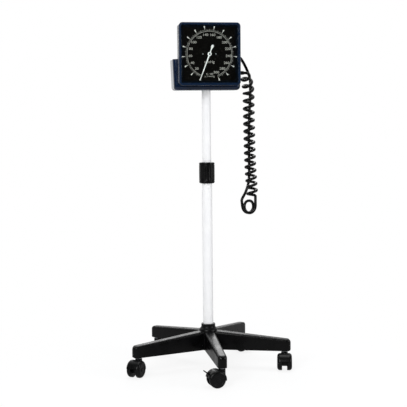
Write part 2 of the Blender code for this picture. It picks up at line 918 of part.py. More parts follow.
def make_caster_meshes():
    """Meshes that all casters share, about the swivel axis, trailing toward +X."""
    axle = (caster_trail, axle_height)
    lug_radius = axle_lug_diameter / 2
    outline = arc(hood_radius, hood_start_angle, hood_end_angle, 2 * corner_steps, axle)
    outline += arc(lug_radius, hood_end_angle, hood_start_angle + 2 * pi, corner_steps, axle)
    side = plate("caster_body", [outline], caster_width - 2 * hood_side_gap)
    side.transform(Matrix.Translation((0, 0, hood_side_gap - caster_width / 2)))
    side.transform(Matrix.Rotation(pi / 2, 4, "X"))
    body = put("caster_body", side, black_nylon)
    boss_radius = caster_boss_diameter / 2
    boss = rod("boss", boss_radius, caster_cap_top - caster_boss_depth, caster_cap_top,
               fine_steps)
    combine(body, guide("caster_boss", boss), "UNION")
    room_half = caster_web_width / 2
    room = rod("wheel_room", hood_inner_radius, room_half, caster_width, socket_steps)
    rooms = merged("wheel_rooms", [
        along_y(room.copy()), along_y(moved(room, (0, 0, -caster_width - room_half)))
    ])
    rooms.transform(Matrix.Translation((caster_trail, 0, axle_height)))
    combine(body, guide("wheel_rooms", rooms), "DIFFERENCE")
    spigot_hole = rod(
        "spigot_hole", spigot_diameter / 2 + seat_gap,
        caster_cap_top - spigot_length - seat_gap, caster_cap_top + overrun, fine_steps,
    )
    combine(body, guide("spigot_hole", spigot_hole), "DIFFERENCE")
    axle_half = caster_width / 2 - wheel_cap_wall - seat_gap
    axle_bar = along_y(rod("axle", axle_radius, -axle_half, axle_half, fine_steps))
    axle_bar.transform(Matrix.Translation((caster_trail, 0, axle_height)))
    combine(body, guide("axle", axle_bar), "UNION")

    front = body.copy()
    parts.objects.link(front)
    slot_mesh = plate("brake_slot", [slot_outline()], brake_slot_width)
    slot_mesh.transform(Matrix.Translation((0, 0, -brake_slot_width / 2)))
    slot_mesh.transform(Matrix.Rotation(pi / 2, 4, "X"))
    combine(front, guide("brake_slot", slot_mesh), "DIFFERENCE")
    pin_hole = along_y(rod("brake_pin_hole", brake_pin_diameter / 2 + seat_gap,
                           -caster_width / 2, caster_width / 2, fine_steps))
    pin_hole.transform(Matrix.Translation(pin_place()))
    combine(front, guide("brake_pin_hole", pin_hole), "DIFFERENCE")
    return baked(body), baked(front)


def pin_place():
    """Centre of the brake lever's pin."""
    return (
        caster_trail + brake_pin_reach * cos(brake_pin_angle),
        0,
        axle_height + brake_pin_reach * sin(brake_pin_angle),
    )


def slot_outline():
    """Outline, seen from the side, of the slot in which the brake lever swings."""
    pin_x, _, pin_z = pin_place()
    centre = (pin_x, pin_z)
    high = brake_pin_angle + brake_slot_rise
    low = brake_pin_angle - brake_slot_drop
    room = brake_arm_thickness / 2 + seat_gap
    outline = arc(room, high + pi / 2, low + 3 * pi / 2, corner_steps, centre)
    return outline + arc(hood_radius, low, high, edge_steps, centre)


def make_wheel_mesh():
    """Dished wheel with a rounded tread and a blind bore, standing on its inner face."""
    bore = axle_radius + running_gap
    dish = wheel_dish_diameter / 2
    profile = [
        (0, wheel_width - wheel_dish_depth),
        (dish - wheel_dish_depth, wheel_width - wheel_dish_depth),
        (dish, wheel_width),
        (wheel_radius - wheel_round, wheel_width),
        (wheel_radius, wheel_width - wheel_round),
        (wheel_radius, 0),
        (bore, 0),
        (bore, wheel_width - wheel_cap_wall),
        (0, wheel_width - wheel_cap_wall),
    ]
    mesh = turned("wheel", profile, wheel_steps)
    mesh.transform(Matrix.Rotation(pi / wheel_steps, 4, "Z"))
    return mesh


def make_stem_mesh():
    """Steel stem of a caster, with its flange and the spigot in the caster's body."""
    flange_top = leg_underside - stem_boss_height - seat_gap
    tip = leg_underside + stem_length
    radius = stem_diameter / 2
    spigot = spigot_diameter / 2
    flange = stem_flange_diameter / 2
    profile = [
        (0, tip),
        (radius - stem_tip_chamfer, tip),
        (radius, tip - stem_tip_chamfer),
        (radius, flange_top),
        (flange, flange_top),
        (flange, flange_top - stem_flange_thickness),
        (spigot, flange_top - stem_flange_thickness),
        (spigot, caster_cap_top - spigot_length),
        (0, caster_cap_top - spigot_length),
    ]
    return turned("caster_stem", profile, fine_steps)


def make_brake_lever(swivel):
    """Foot lever with its cross pin, that swings in the front caster's slot."""
    pin_x, _, pin_z = pin_place()
    lever_axis = empty("brake_lever_axis", swivel, (pin_x, 0, pin_z), (0, -brake_pin_angle, 0))
    half = brake_arm_thickness / 2
    arm = arc(half, pi / 2, 3 * pi / 2, corner_steps)
    arm += [(brake_arm_length, -half), (brake_arm_length, half)]
    mesh = plate("brake_lever", [arm], brake_arm_width)
    mesh.transform(Matrix.Translation((0, 0, -brake_arm_width / 2)))
    mesh.transform(Matrix.Rotation(pi / 2, 4, "X"))
    lever = put("brake_lever", mesh, black_nylon, lever_axis)
    pin_half = caster_web_width / 2 - seat_gap
    pin = along_y(rod("brake_pin", brake_pin_diameter / 2, -pin_half, pin_half, fine_steps))
    combine(lever, guide("brake_pin", pin, lever_axis), "UNION")
    pad = plate("brake_pad", [rounded_rectangle(brake_pad_length, brake_pad_width,
                                                brake_pad_round)], brake_pad_thickness)
    pad.transform(Matrix.Translation((0, 0, -brake_pad_thickness / 2)))
    pad_reach = brake_arm_length + brake_pad_length / 2 - half
    combine(lever, guide("brake_pad", pad, lever_axis, (pad_reach, 0, 0)), "UNION")


def make_casters(stand):
    """Five twin-wheel casters, the front one with a brake lever."""
    body_mesh, front_body_mesh = make_caster_meshes()
    wheel_mesh = make_wheel_mesh()
    stem_mesh = make_stem_mesh()
    wheel_side = caster_width / 2 - wheel_width
    names = ("front", "right", "right_rear", "left_rear", "left")
    for index, name in enumerate(names[:leg_count]):
        angle = leg_angle(index)
        place = (caster_circle_radius * cos(angle), caster_circle_radius * sin(angle), 0)
        swivel = empty(f"swivel_{name}", stand, place, (0, 0, caster_headings[index]))
        mesh = front_body_mesh if index == 0 else body_mesh
        put(f"caster_body_{name}", mesh, black_nylon, swivel)
        put(f"caster_stem_{name}", stem_mesh, zinc_steel, swivel)
        for side, turn in (("a", pi / 2), ("b", -pi / 2)):
            offset = copysign(wheel_side, -turn)
            axis = empty(f"wheel_axis_{name}_{side}", swivel,
                         (caster_trail, offset, axle_height), (turn, 0, 0))
            put(f"wheel_{name}_{side}", wheel_mesh, wheel_black, axis)
        if index == 0:
            make_brake_lever(swivel)


# Moving mast, basket and socket


def make_upper_mast(mast):
    """Sliding tube with the nylon plug in its foot."""
    tube_profile = [
        (upper_tube_bore, upper_tube_top),
        (upper_tube_radius, upper_tube_top),
        (upper_tube_radius, upper_tube_foot),
        (upper_tube_bore, upper_tube_foot),
    ]
    put("upper_tube", ring("upper_tube", tube_profile, tube_steps), white_tube, mast)
    spigot = upper_tube_bore - seat_gap
    flange = lower_tube_bore - mast_plug_running_gap
    flange_top = upper_tube_foot - seat_gap
    plug_profile = [
        (0, flange_top + mast_plug_spigot),
        (spigot, flange_top + mast_plug_spigot),
        (spigot, flange_top),
        (flange, flange_top),
        (flange, flange_top - mast_plug_flange),
        (0, flange_top - mast_plug_flange),
    ]
    put("mast_foot_plug", turned("mast_foot_plug", plug_profile, tube_steps), black_nylon, mast)


def make_basket(mast):
    """Open basket with a drawn-in foot and rounded corners, from one shelled block."""
    body = bmesh.new()
    bmesh.ops.create_cube(body, size=1)
    for vertex in body.verts:
        width = basket_top_width if vertex.co.z > 0 else basket_bottom_width
        vertex.co = (
            copysign(width / 2, vertex.co.x),
            basket_middle_y + copysign(basket_depth / 2, vertex.co.y),
            basket_rim if vertex.co.z > 0 else basket_floor_height,
        )
    upright = [
        edge for edge in body.edges
        if abs(edge.verts[0].co.z - edge.verts[1].co.z) > basket_height / 2
    ]
    bmesh.ops.bevel(
        body, geom=upright, offset=basket_corner_round, offset_type="OFFSET",
        segments=corner_steps, profile=0.5, affect="EDGES",
    )
    top = max(body.faces, key=lambda face: face.calc_center_median().z)
    bottom = min(body.faces, key=lambda face: face.calc_center_median().z)
    bottom_edges = list(bottom.edges)
    bmesh.ops.delete(body, geom=[top], context="FACES_ONLY")
    bmesh.ops.bevel(
        body, geom=bottom_edges, offset=basket_bottom_round, offset_type="OFFSET",
        segments=edge_steps + 1, profile=0.5, affect="EDGES",
    )
    mesh = bpy.data.meshes.new("basket")
    body.to_mesh(mesh)
    body.free()
    basket = put("basket", mesh, navy_plastic, mast)
    shell = basket.modifiers.new("wall", "SOLIDIFY")
    shell.thickness = basket_wall
    shell.offset = -1
    shell.use_even_offset = True
    hole = rod("tube_hole", upper_tube_radius + seat_gap, basket_floor_height - overrun,
               basket_inner_floor + overrun, tube_steps)
    combine(basket, guide("tube_hole", hole, mast), "DIFFERENCE")
    return basket


def make_socket(mast, basket):
    """Flanged cup riveted on the basket's floor, in which the mast's head sits."""
    flange = plate(
        "mast_socket",
        [rounded_rectangle(socket_flange_length, socket_flange_width, socket_flange_round)],
        socket_flange_thickness,
    )
    place = (0, 0, socket_foot)
    socket = put("mast_socket", flange, zinc_steel, mast, place)
    cup = rod("socket_cup", socket_cup_radius, socket_flange_thickness / 2, socket_height,
              inner_steps, socket_top_wall / 2)
    combine(socket, guide("socket_cup", cup, mast, place), "UNION")
    bore = rod("socket_bore", upper_tube_radius + seat_gap, -overrun,
               socket_height - socket_top_wall, inner_steps)
    combine(socket, guide("socket_bore", bore, mast, place), "DIFFERENCE")
    radius = rivet_diameter / 2
    head = rivet_head_diameter / 2
    head_top = socket_flange_thickness + rivet_head_height
    profile = [
        (0, head_top),
        (head - rivet_head_height, head_top),
        (head, socket_flange_thickness),
        (head, socket_flange_thickness / 2),
        (radius, socket_flange_thickness / 2),
        (radius, -rivet_grip),
        (0, -rivet_grip),
    ]
    rivet = turned("socket_rivet", profile, post_steps)
    hole = rod("rivet_hole", radius + seat_gap, -rivet_grip - seat_gap, overrun, post_steps)
    places = [
        (side_x * socket_rivet_spread_x, side_y * socket_rivet_spread_y, 0)
        for side_x in (-1, 1) for side_y in (-1, 1)
    ]
    rivets = merged("socket_rivets", [moved(rivet, spot) for spot in places])
    holes = merged("rivet_holes", [moved(hole, spot) for spot in places])
    combine(socket, guide("socket_rivets", rivets, mast, place), "UNION")
    combine(basket, guide("rivet_holes", holes, mast, place), "DIFFERENCE")


# Tilt hinge


def hinge_leaf(name, side, direction):
    """A hinge leaf standing up or down from the pin's axis, against one of the two walls."""
    near = -direction * hinge_pin_diameter / 4
    far = direction * hinge_leaf_height
    low, high = min(near, far), max(near, far)
    half = hinge_leaf_width / 2
    leaf = plate(name, [[(-half, low), (half, low), (half, high), (-half, high)]],
                 hinge_leaf_thickness)
    leaf.transform(Matrix.Rotation(pi / 2, 4, "X"))
    seat = hinge_gap / 2 - seat_gap
    shift = seat if side > 0 else hinge_leaf_thickness - seat
    leaf.transform(Matrix.Translation((0, shift, 0)))
    return leaf


def hinge_rivets(name, side, direction):
    """Two rivets of a leaf along Y, and the room for them in the wall behind the leaf."""
    wall = hinge_gap / 2
    leaf_face = wall - seat_gap - hinge_leaf_thickness
    radius = rivet_diameter / 2
    head = rivet_head_diameter / 2
    end = wall + rivet_grip
    profile = [
        (0, end),
        (radius, end),
        (radius, leaf_face + hinge_leaf_thickness / 2),
        (head, leaf_face + hinge_leaf_thickness / 2),
        (head, leaf_face),
        (head - rivet_head_height, leaf_face - rivet_head_height),
        (0, leaf_face - rivet_head_height),
    ]
    solids = []
    for mesh in (
        turned("hinge_rivet", profile, fine_steps),
        rod("hinge_hole", radius + seat_gap, wall - seat_gap, end + seat_gap, fine_steps),
    ):
        mesh = along_y(mesh)
        if side < 0:
            mesh.transform(Matrix.Rotation(pi, 4, "X"))
        solids.append(merged(name, [
            moved(mesh, (x * hinge_rivet_spread, 0, direction * hinge_rivet_drop))
            for x in (-1, 1)
        ]))
    return solids


def make_hinge(tilt_axis, basket, case):
    """Tilt hinge: the lower leaf holds the pin on the basket, the upper turns with the gauge."""
    knuckle_radius = hinge_knuckle_diameter / 2
    half = hinge_leaf_width / 2 - seat_gap
    middle = hinge_middle_length / 2
    spans = {
        "basket_hinge_leaf": [(-half, -middle - 2 * seat_gap), (middle + 2 * seat_gap, half)],
        "gauge_hinge_leaf": [(-middle, middle)],
    }
    for name, side, direction, wall in (
        ("basket_hinge_leaf", 1, -1, basket), ("gauge_hinge_leaf", -1, 1, case),
    ):
        leaf = put(name, hinge_leaf(name, side, direction), zinc_steel, tilt_axis)
        others = [span for key, value in spans.items() if key != name for span in value]
        rooms = merged(f"{name}_rooms", [
            along_x(rod("room", knuckle_radius + seat_gap, low - seat_gap, high + seat_gap,
                        small_steps))
            for low, high in others
        ])
        combine(leaf, guide(f"{name}_rooms", rooms, tilt_axis), "DIFFERENCE")
        knuckles = merged(f"{name}_knuckles", [
            along_x(rod("knuckle", knuckle_radius, low, high, small_steps))
            for low, high in spans[name]
        ])
        combine(leaf, guide(f"{name}_knuckles", knuckles, tilt_axis), "UNION")
        if wall == case:
            bore = along_x(rod("pin_bore", hinge_pin_diameter / 2 + running_gap,
                               -hinge_leaf_width, hinge_leaf_width, fine_steps))
            combine(leaf, guide("pin_bore", bore, tilt_axis), "DIFFERENCE")
        else:
            reach = hinge_leaf_width / 2 + seat_gap
            pin = along_x(rod("hinge_pin", hinge_pin_diameter / 2, -reach, reach, fine_steps))
            combine(leaf, guide("hinge_pin", pin, tilt_axis), "UNION")
        rivets, holes = hinge_rivets(name, side, direction)
        combine(leaf, guide(f"{name}_rivets", rivets, tilt_axis), "UNION")
        combine(wall, guide(f"{name}_holes", holes, tilt_axis), "DIFFERENCE")


# Gauge head, drawn flat with the dial toward +Z and stood up by its empty


def make_gauge_case(head):
    """Rear case shell, front bezel with the lens ledge, and the lens."""
    body = bmesh.new()
    bmesh.ops.create_cube(body, size=1)
    for vertex in body.verts:
        vertex.co = (
            copysign(gauge_width / 2, vertex.co.x),
            copysign(gauge_width / 2, vertex.co.y),
            gauge_case_depth if vertex.co.z > 0 else 0,
        )
    upright = [
        edge for edge in body.edges
        if abs(edge.verts[0].co.z - edge.verts[1].co.z) > gauge_case_depth / 2
    ]
    bmesh.ops.bevel(
        body, geom=upright, offset=gauge_corner_round, offset_type="OFFSET",
        segments=corner_steps, profile=0.5, affect="EDGES",
    )
    top = max(body.faces, key=lambda face: face.calc_center_median().z)
    bottom = min(body.faces, key=lambda face: face.calc_center_median().z)
    back_edges = list(bottom.edges)
    bmesh.ops.delete(body, geom=[top], context="FACES_ONLY")
    bmesh.ops.bevel(
        body, geom=back_edges, offset=gauge_back_round, offset_type="OFFSET",
        segments=edge_steps, profile=0.5, affect="EDGES",
    )
    mesh = bpy.data.meshes.new("gauge_case")
    body.to_mesh(mesh)
    body.free()
    case = put("gauge_case", mesh, navy_plastic, head)
    shell = case.modifiers.new("wall", "SOLIDIFY")
    shell.thickness = gauge_case_wall
    shell.offset = -1
    shell.use_even_offset = True
    port_hole = along_x(rod("port_hole", port_bore / 2 + seat_gap, 0, gauge_width, small_steps))
    combine(case, guide("port_hole", port_hole, head, (0, port_height, port_depth)), "DIFFERENCE")

    bezel_foot = gauge_case_depth + seat_gap
    opening = gauge_width - 2 * bezel_face_width
    opening_round = gauge_corner_round - bezel_face_width * bezel_inner_round_share
    ledge_opening = opening - 2 * bezel_ledge_width
    outer = rounded_rectangle(gauge_width, gauge_width, gauge_corner_round)
    ledge = rounded_rectangle(ledge_opening, ledge_opening, opening_round)
    frame = put("front_bezel", plate("front_bezel", [outer, ledge], bezel_depth), None)
    lens_room = plate("lens_room", [rounded_rectangle(opening, opening, opening_round)],
                      bezel_lens_depth + overrun)
    combine(frame, guide("lens_room", lens_room, None, (0, 0, bezel_depth - bezel_lens_depth)),
            "DIFFERENCE")
    bezel_mesh = baked(frame)
    round_front_edge(bezel_mesh, bezel_depth, opening / 2, bezel_front_round)
    put("front_bezel", bezel_mesh, navy_plastic, head, (0, 0, bezel_foot))
    lens_width = opening - 2 * seat_gap
    lens = plate("dial_lens", [rounded_rectangle(lens_width, lens_width, opening_round)],
                 lens_thickness)
    put("dial_lens", lens, clear_plastic, head,
        (0, 0, bezel_foot + bezel_depth - bezel_lens_depth + seat_gap))
    return case


def round_front_edge(mesh, level, clear_reach, width):
    """Round the outer edge of a frame's front face, which lies at one level."""
    body = bmesh.new()
    body.from_mesh(mesh)
    front = [
        edge for edge in body.edges
        if all(abs(v.co.z - level) < weld_distance for v in edge.verts)
        and all(max(abs(v.co.x), abs(v.co.y)) > clear_reach for v in edge.verts)
        and edge.calc_face_angle(0) > pi / 4
    ]
    bmesh.ops.bevel(
        body, geom=front, offset=width, offset_type="OFFSET",
        segments=edge_steps, profile=0.5, affect="EDGES",
    )
    body.to_mesh(mesh)
    body.free()


def movement_levels():
    """Heights of the capsule, the two plates and the dial above the case's back."""
    floor = gauge_case_wall + seat_gap
    back_plate = floor + movement_post_height + seat_gap
    gears = back_plate + movement_plate_thickness
    front_plate = gears + movement_gear_space
    dial = gauge_case_depth - dial_thickness
    return floor, back_plate, gears, front_plate, dial


def make_dial(head):
    """Dial plate and the two screws that hold it on the movement's spacers."""
    dial = movement_levels()[-1]
    dial_width = gauge_width - 2 * dial_inset
    screw_hole = dial_screw_diameter / 2 + seat_gap
    hub_hole = arbor_diameter / 2 + thread_gap
    outlines = [
        rounded_rectangle(dial_width, dial_width, gauge_corner_round - dial_inset),
        circle(hub_hole, fine_steps),
        circle(screw_hole, fine_steps, (dial_screw_spread, 0)),
        circle(screw_hole, fine_steps, (-dial_screw_spread, 0)),
    ]
    put("dial_plate", plate("dial_plate", outlines, dial_thickness), dial_black, head,
        (0, 0, dial))
    head_foot = dial + dial_thickness + seat_gap
    head_top = head_foot + dial_screw_head_height
    head_radius = dial_screw_head_diameter / 2
    shank = dial_screw_diameter / 2
    screw_tip = dial - dial_screw_grip
    screw_profile = [
        (0, head_top),
        (head_radius - dial_screw_head_height, head_top),
        (head_radius, head_foot),
        (shank, head_foot),
        (shank, screw_tip),
        (0, screw_tip),
    ]
    screw = turned("dial_screw", screw_profile, fine_steps)
    for name, side in (("dial_screw_left", -1), ("dial_screw_right", 1)):
        put(name, screw, zinc_steel, head, (side * dial_screw_spread, 0, 0))


def pointer_outline():
    """Outline of the pointer along +X: tapered needle, ring hub and spade tail."""
    hub = pointer_hub_diameter / 2
    root = acos(pointer_root_width / 2 / hub)
    neck = acos(pointer_tail_neck / 2 / hub)
    tip = pointer_tip_width / 2
    spade = pointer_spade_width / 2
    tail = -pointer_tail_length
    spade_start = tail * (1 - pointer_spade_share)
    upper = [(pointer_length, tip)]
    upper += arc(hub, pi / 2 - root, pi / 2 + neck, post_steps)
    upper += [
        (spade_start, pointer_tail_neck / 2),
        (tail * (1 - pointer_spade_share / 2), spade),
        (tail + spade / 4, spade * pointer_spade_shoulder),
        (tail, spade * pointer_spade_end),
    ]
    lower = [(x, -y) for x, y in reversed(upper)]
    return [*upper, *lower, (pointer_length + tip, 0)]


def gear_outline(teeth_total, first_angle, count):
    """Toothed arc: each tooth from its root over its tip and down again."""
    pitch_radius = gear_module * teeth_total / 2
    tip_radius = pitch_radius + gear_module * addendum_share
    root_radius = pitch_radius - gear_module * dedendum_share
    step = 2 * pi / teeth_total
    half_pitch = step / 4 * (1 - gear_backlash_share)
    half_tip = half_pitch - tooth_slope * gear_module * addendum_share / tip_radius
    half_root = half_pitch + tooth_slope * gear_module * dedendum_share / root_radius
    points = []
    for index in range(count):
        middle = first_angle + index * step
        for radius, offset in ((root_radius, -half_root), (tip_radius, -half_tip),
                               (tip_radius, half_tip), (root_radius, half_root)):
            points.append((radius * cos(middle + offset), radius * sin(middle + offset)))
    return points


def sector_place():
    """The sector's pivot lies straight below the pinion, at the sum of both pitch radii."""
    distance = gear_module * pinion_teeth * (1 + sector_ratio) / 2
    return (0, -distance)


def make_movement(head):
    """Capsule, posts, plates, toothed sector, pinion arbor, hairspring and feed tube."""
    floor, back_plate, gears, front_plate, dial = movement_levels()
    offset = (0, movement_offset_y, 0)
    radius = capsule_diameter / 2
    rim = radius * (1 - capsule_rim_share / capsule_ripple_count)
    top = floor + capsule_height
    stud = capsule_stud_diameter / 2
    profile = [(0, top + capsule_stud_height), (stud, top + capsule_stud_height), (stud, top)]
    for index in range(2 * capsule_ripple_count - 1):
        share = (index + 1) / (2 * capsule_ripple_count)
        lift = 0 if index % 2 else -capsule_ripple_height
        profile.append((stud + (rim - stud) * share, top + lift))
    seam = capsule_height * capsule_seam_share
    profile += [(rim, top - capsule_ripple_height), (radius, top - seam), (radius, floor + seam),
                (rim, floor), (0, floor)]
    capsule = put("aneroid_capsule", turned("aneroid_capsule", profile, socket_steps),
                  movement_brass, head, offset)
    nipple_level = floor + capsule_height / 2
    nipple = along_x(rod("nipple", capsule_nipple_diameter / 2, radius / 2,
                         radius + capsule_nipple_length, fine_steps))
    combine(capsule, guide("capsule_nipple", nipple, head, (0, movement_offset_y, nipple_level)),
            "UNION")

    inset_x = movement_plate_width / 2 - movement_post_inset
    inset_y = movement_plate_height / 2 - movement_post_inset
    corners = [
        (side_x * inset_x, movement_offset_y + side_y * inset_y)
        for side_x in (-1, 1) for side_y in (-1, 1)
    ]
    pivot = arbor_diameter / 2 + running_gap
    outline = rounded_rectangle(movement_plate_width, movement_plate_height,
                                movement_plate_round, centre=(0, movement_offset_y))
    holes = [circle(pivot, fine_steps), circle(pivot, fine_steps, sector_place())]
    plate_mesh = plate("movement_plate", [outline, *holes], movement_plate_thickness)
    back = put("movement_back_plate", moved(plate_mesh, (0, 0, back_plate)), movement_brass, head)
    pillar = rod("pillar", movement_post_diameter / 2, floor, front_plate - seat_gap, post_steps)
    pillars = merged("pillars", [moved(pillar, (x, y, 0)) for x, y in corners])
    combine(back, guide("pillars", pillars, head), "UNION")
    front = put("movement_front_plate", moved(plate_mesh, (0, 0, front_plate)), movement_brass,
                head)
    spacer_top = dial - seat_gap
    spacer_foot = front_plate + movement_plate_thickness / 2
    spacer = rod("spacer", dial_spacer_diameter / 2, spacer_foot, spacer_top, fine_steps)
    spacer_bore = rod("spacer_bore", dial_screw_diameter / 2 + seat_gap,
                      dial - dial_screw_grip - seat_gap, spacer_top + overrun, fine_steps)
    for name, mesh, operation in (("spacers", spacer, "UNION"),
                                  ("spacer_bores", spacer_bore, "DIFFERENCE")):
        pair = merged(name, [
            moved(mesh, (dial_screw_spread, 0, 0)), moved(mesh, (-dial_screw_spread, 0, 0))
        ])
        combine(front, guide(name, pair, head), operation)

    sector_x, sector_y = sector_place()
    sector_axis = empty("sector_axis", head, (sector_x, sector_y, 0))
    sector_teeth = pinion_teeth * sector_ratio
    step = 2 * pi / sector_teeth
    spare = (sector_tooth_count - pointer_sweep / sector_ratio / step) / 2
    last = round(spare)
    first_angle = pi / 2 + step / 2 + (last - sector_tooth_count) * step
    outline = gear_outline(sector_teeth, first_angle, sector_tooth_count)
    hub = sector_hub_diameter / 2
    last_angle = first_angle + (sector_tooth_count - 1) * step
    outline += arc(hub, last_angle + pi / 2, first_angle + 3 * pi / 2, fine_steps)
    gear_foot = gears + gear_foot_clearance
    sector = put("toothed_sector", moved(plate("toothed_sector", [outline], gear_thickness),
                                         (0, 0, gear_foot)), movement_brass, sector_axis)
    arbor = rod("sector_arbor", arbor_diameter / 2, back_plate,
                front_plate + movement_plate_thickness, fine_steps)
    combine(sector, guide("sector_arbor", arbor, sector_axis), "UNION")

    pinion_axis = empty("pinion_axis", head)
    outline = gear_outline(pinion_teeth, -pi / 2, pinion_teeth)
    pinion_thickness = gear_thickness * pinion_thickness_share
    pinion_foot = gear_foot + (gear_thickness - pinion_thickness) / 2
    pinion = put("pinion_arbor", moved(plate("pinion_arbor", [outline], pinion_thickness),
                                       (0, 0, pinion_foot)), zinc_steel, pinion_axis)
    pointer_foot = dial + dial_thickness + pointer_lift
    level = gears + movement_gear_space * hairspring_level_share
    collet = hairspring_collet_diameter / 2
    shaft = arbor_diameter / 2
    shaft_profile = [
        (0, pointer_foot - seat_gap / 2),
        (shaft, pointer_foot - seat_gap / 2),
        (shaft, level + hairspring_wire),
        (collet, level + hairspring_wire),
        (collet, level - hairspring_wire),
        (shaft, level - hairspring_wire),
        (shaft, back_plate),
        (0, back_plate),
    ]
    combine(pinion, guide("pinion_shaft", turned("pinion_shaft", shaft_profile, fine_steps),
                          pinion_axis), "UNION")
    pointer = plate("pointer", [pointer_outline()], pointer_thickness)
    put("pointer", pointer, pointer_white, pinion_axis, (0, 0, pointer_foot),
        (0, 0, pointer_zero_angle))

    inner = collet + seat_gap + hairspring_wire / 2
    outer = hairspring_outer_diameter / 2
    count = hairspring_turns * hairspring_points_per_turn
    spiral = []
    for index in range(count + 1):
        angle = 2 * pi * index / hairspring_points_per_turn
        reach = inner + (outer - inner) * index / count
        spiral.append((reach * cos(angle), reach * sin(angle), level))
    put("hairspring", tube_curve("hairspring", spiral, hairspring_wire, 0), zinc_steel, head)

    nipple_end = radius + capsule_nipple_length + seat_gap
    inner_wall = gauge_width / 2 - gauge_case_wall - port_inner_length - seat_gap
    start = Vector((inner_wall, port_height, port_depth))
    finish = Vector((nipple_end, movement_offset_y, nipple_level))
    span = start - finish
    straight = Vector((feed_tube_diameter * feed_tube_end_share, 0, 0))
    bends = [finish + span * Vector(shares) for shares in feed_tube_bends]
    route = [start, start - straight, *bends, finish + straight, finish]
    points = smooth_route(route, feed_tube_diameter * feed_tube_step_share)
    put("feed_tube", tube_curve("feed_tube", points, feed_tube_diameter, 2), hose_black, head)


def make_port(head):
    """Pressure port through the right side of the case, with its nipple for the hose."""
    inner = gauge_width / 2 - gauge_case_wall - port_inner_length
    wall = gauge_width / 2
    radius = port_bore / 2
    flange = port_flange_diameter / 2
    nipple = hose_diameter / 2
    face = wall + seat_gap
    neck = face + port_flange_thickness
    barb = nipple * port_barb_swell
    low, middle, high = [neck + port_nipple_length * share for share in port_barb_levels]
    profile = [
        (0, neck + port_nipple_length),
        (nipple, neck + port_nipple_length),
        (barb, high),
        (nipple, middle),
        (barb, low),
        (barb, neck),
        (flange, neck),
        (flange, face),
        (radius, face),
        (radius, inner),
        (0, inner),
    ]
    put("pressure_port", along_x(turned("pressure_port", profile, small_steps)), zinc_steel, head,
        (0, port_height, port_depth))


# Hose


def port_mouth():
    """Where the hose leaves the port, measured from the mast's foot."""
    reach = gauge_width / 2 + seat_gap + port_flange_thickness + port_nipple_length
    return Vector((reach + seat_gap, gauge_back - port_depth, gauge_centre_z + port_height))


def hose_side():
    """How far out the hose hangs: clear of both the port and the basket's side."""
    return max(port_mouth().x, basket_top_width / 2)


def coil_axis_points():
    """Middle line that the curls wind round, from the port down to the end loops."""
    mouth = port_mouth()
    hang = Vector((hose_side(), mouth.y, mouth.z))
    return [mouth, mouth + Vector(coil_first_bend), *(hang + Vector(b) for b in coil_bends)]


def hose_curls():
    """Points of the curled stretch: a helix on the middle line that opens from the port."""
    axis = smooth_route(coil_axis_points(), hose_diameter / 4)
    lengths = [0.0]
    for a, b in zip(axis, axis[1:]):
        lengths.append(lengths[-1] + (b - a).length)
    normal = (axis[1] - axis[0]).cross(Vector((0, 1, 0))).normalized()
    frames = []
    for index in range(len(axis)):
        ahead = axis[min(index + 1, len(axis) - 1)] - axis[max(index - 1, 0)]
        tangent = ahead.normalized()
        normal = (normal - tangent * normal.dot(tangent)).normalized()
        frames.append((tangent, normal.copy()))
    points = [axis[0], axis[0] + Vector((hose_diameter, 0, 0))]
    straight = hose_diameter * coil_start_share
    curled = lengths[-1] - straight
    turns = round(2 * curled / (coil_top_pitch + coil_bottom_pitch))
    mean_pitch = (coil_top_pitch + coil_bottom_pitch) / 2
    count = turns * coil_points_per_turn
    index = 0
    for step in range(count + 1):
        share = step / count
        easing = coil_top_pitch * share + (coil_bottom_pitch - coil_top_pitch) * share**2 / 2
        travelled = straight + curled * easing / mean_pitch
        while index < len(lengths) - 2 and lengths[index + 1] < travelled:
            index += 1
        part = (travelled - lengths[index]) / (lengths[index + 1] - lengths[index])
        middle = axis[index].lerp(axis[index + 1], part)
        tangent, normal = frames[index]
        side = tangent.cross(normal)
        angle = 2 * pi * step / coil_points_per_turn
        reach = coil_radius * min(1.0, travelled / coil_top_pitch)
        points.append(middle + normal * (reach * cos(angle)) + side * (reach * sin(angle)))
    return points


def hose_loops(start):
    """Points of the end loops: a flat spiral in, one layer back, and out again."""
    turns = loop_turns_per_layer
    count = round(turns * loop_points_per_turn)
    drop = loop_outer_radius * loop_stretch_share * loop_drop_share
    centre = start - Vector((loop_outer_radius, 0, drop))
    points = []
    for step in range(2 * count + 1):
        travelled = step / loop_points_per_turn
        inward = min(travelled, 2 * turns - travelled) / turns
        reach = loop_outer_radius + (loop_inner_radius - loop_outer_radius) * inward
        climb = min(1.0, max(0.0, (travelled - turns) / loop_climb_turns + 1 / 2))
        angle = -2 * pi * travelled
        points.append(centre + Vector((
            reach * cos(angle), climb * loop_layer_step,
            reach * sin(angle) * loop_stretch_share,
        )))
    return points


def least_gap(points, diameter, skip):
    """Least space between turns of a tube, measured on the points of its middle line."""
    least = None
    for i in range(len(points)):
        for j in range(i + skip, len(points)):
            gap = (points[i] - points[j]).length - diameter
            if least is None or gap < least:
                least = gap
    return least


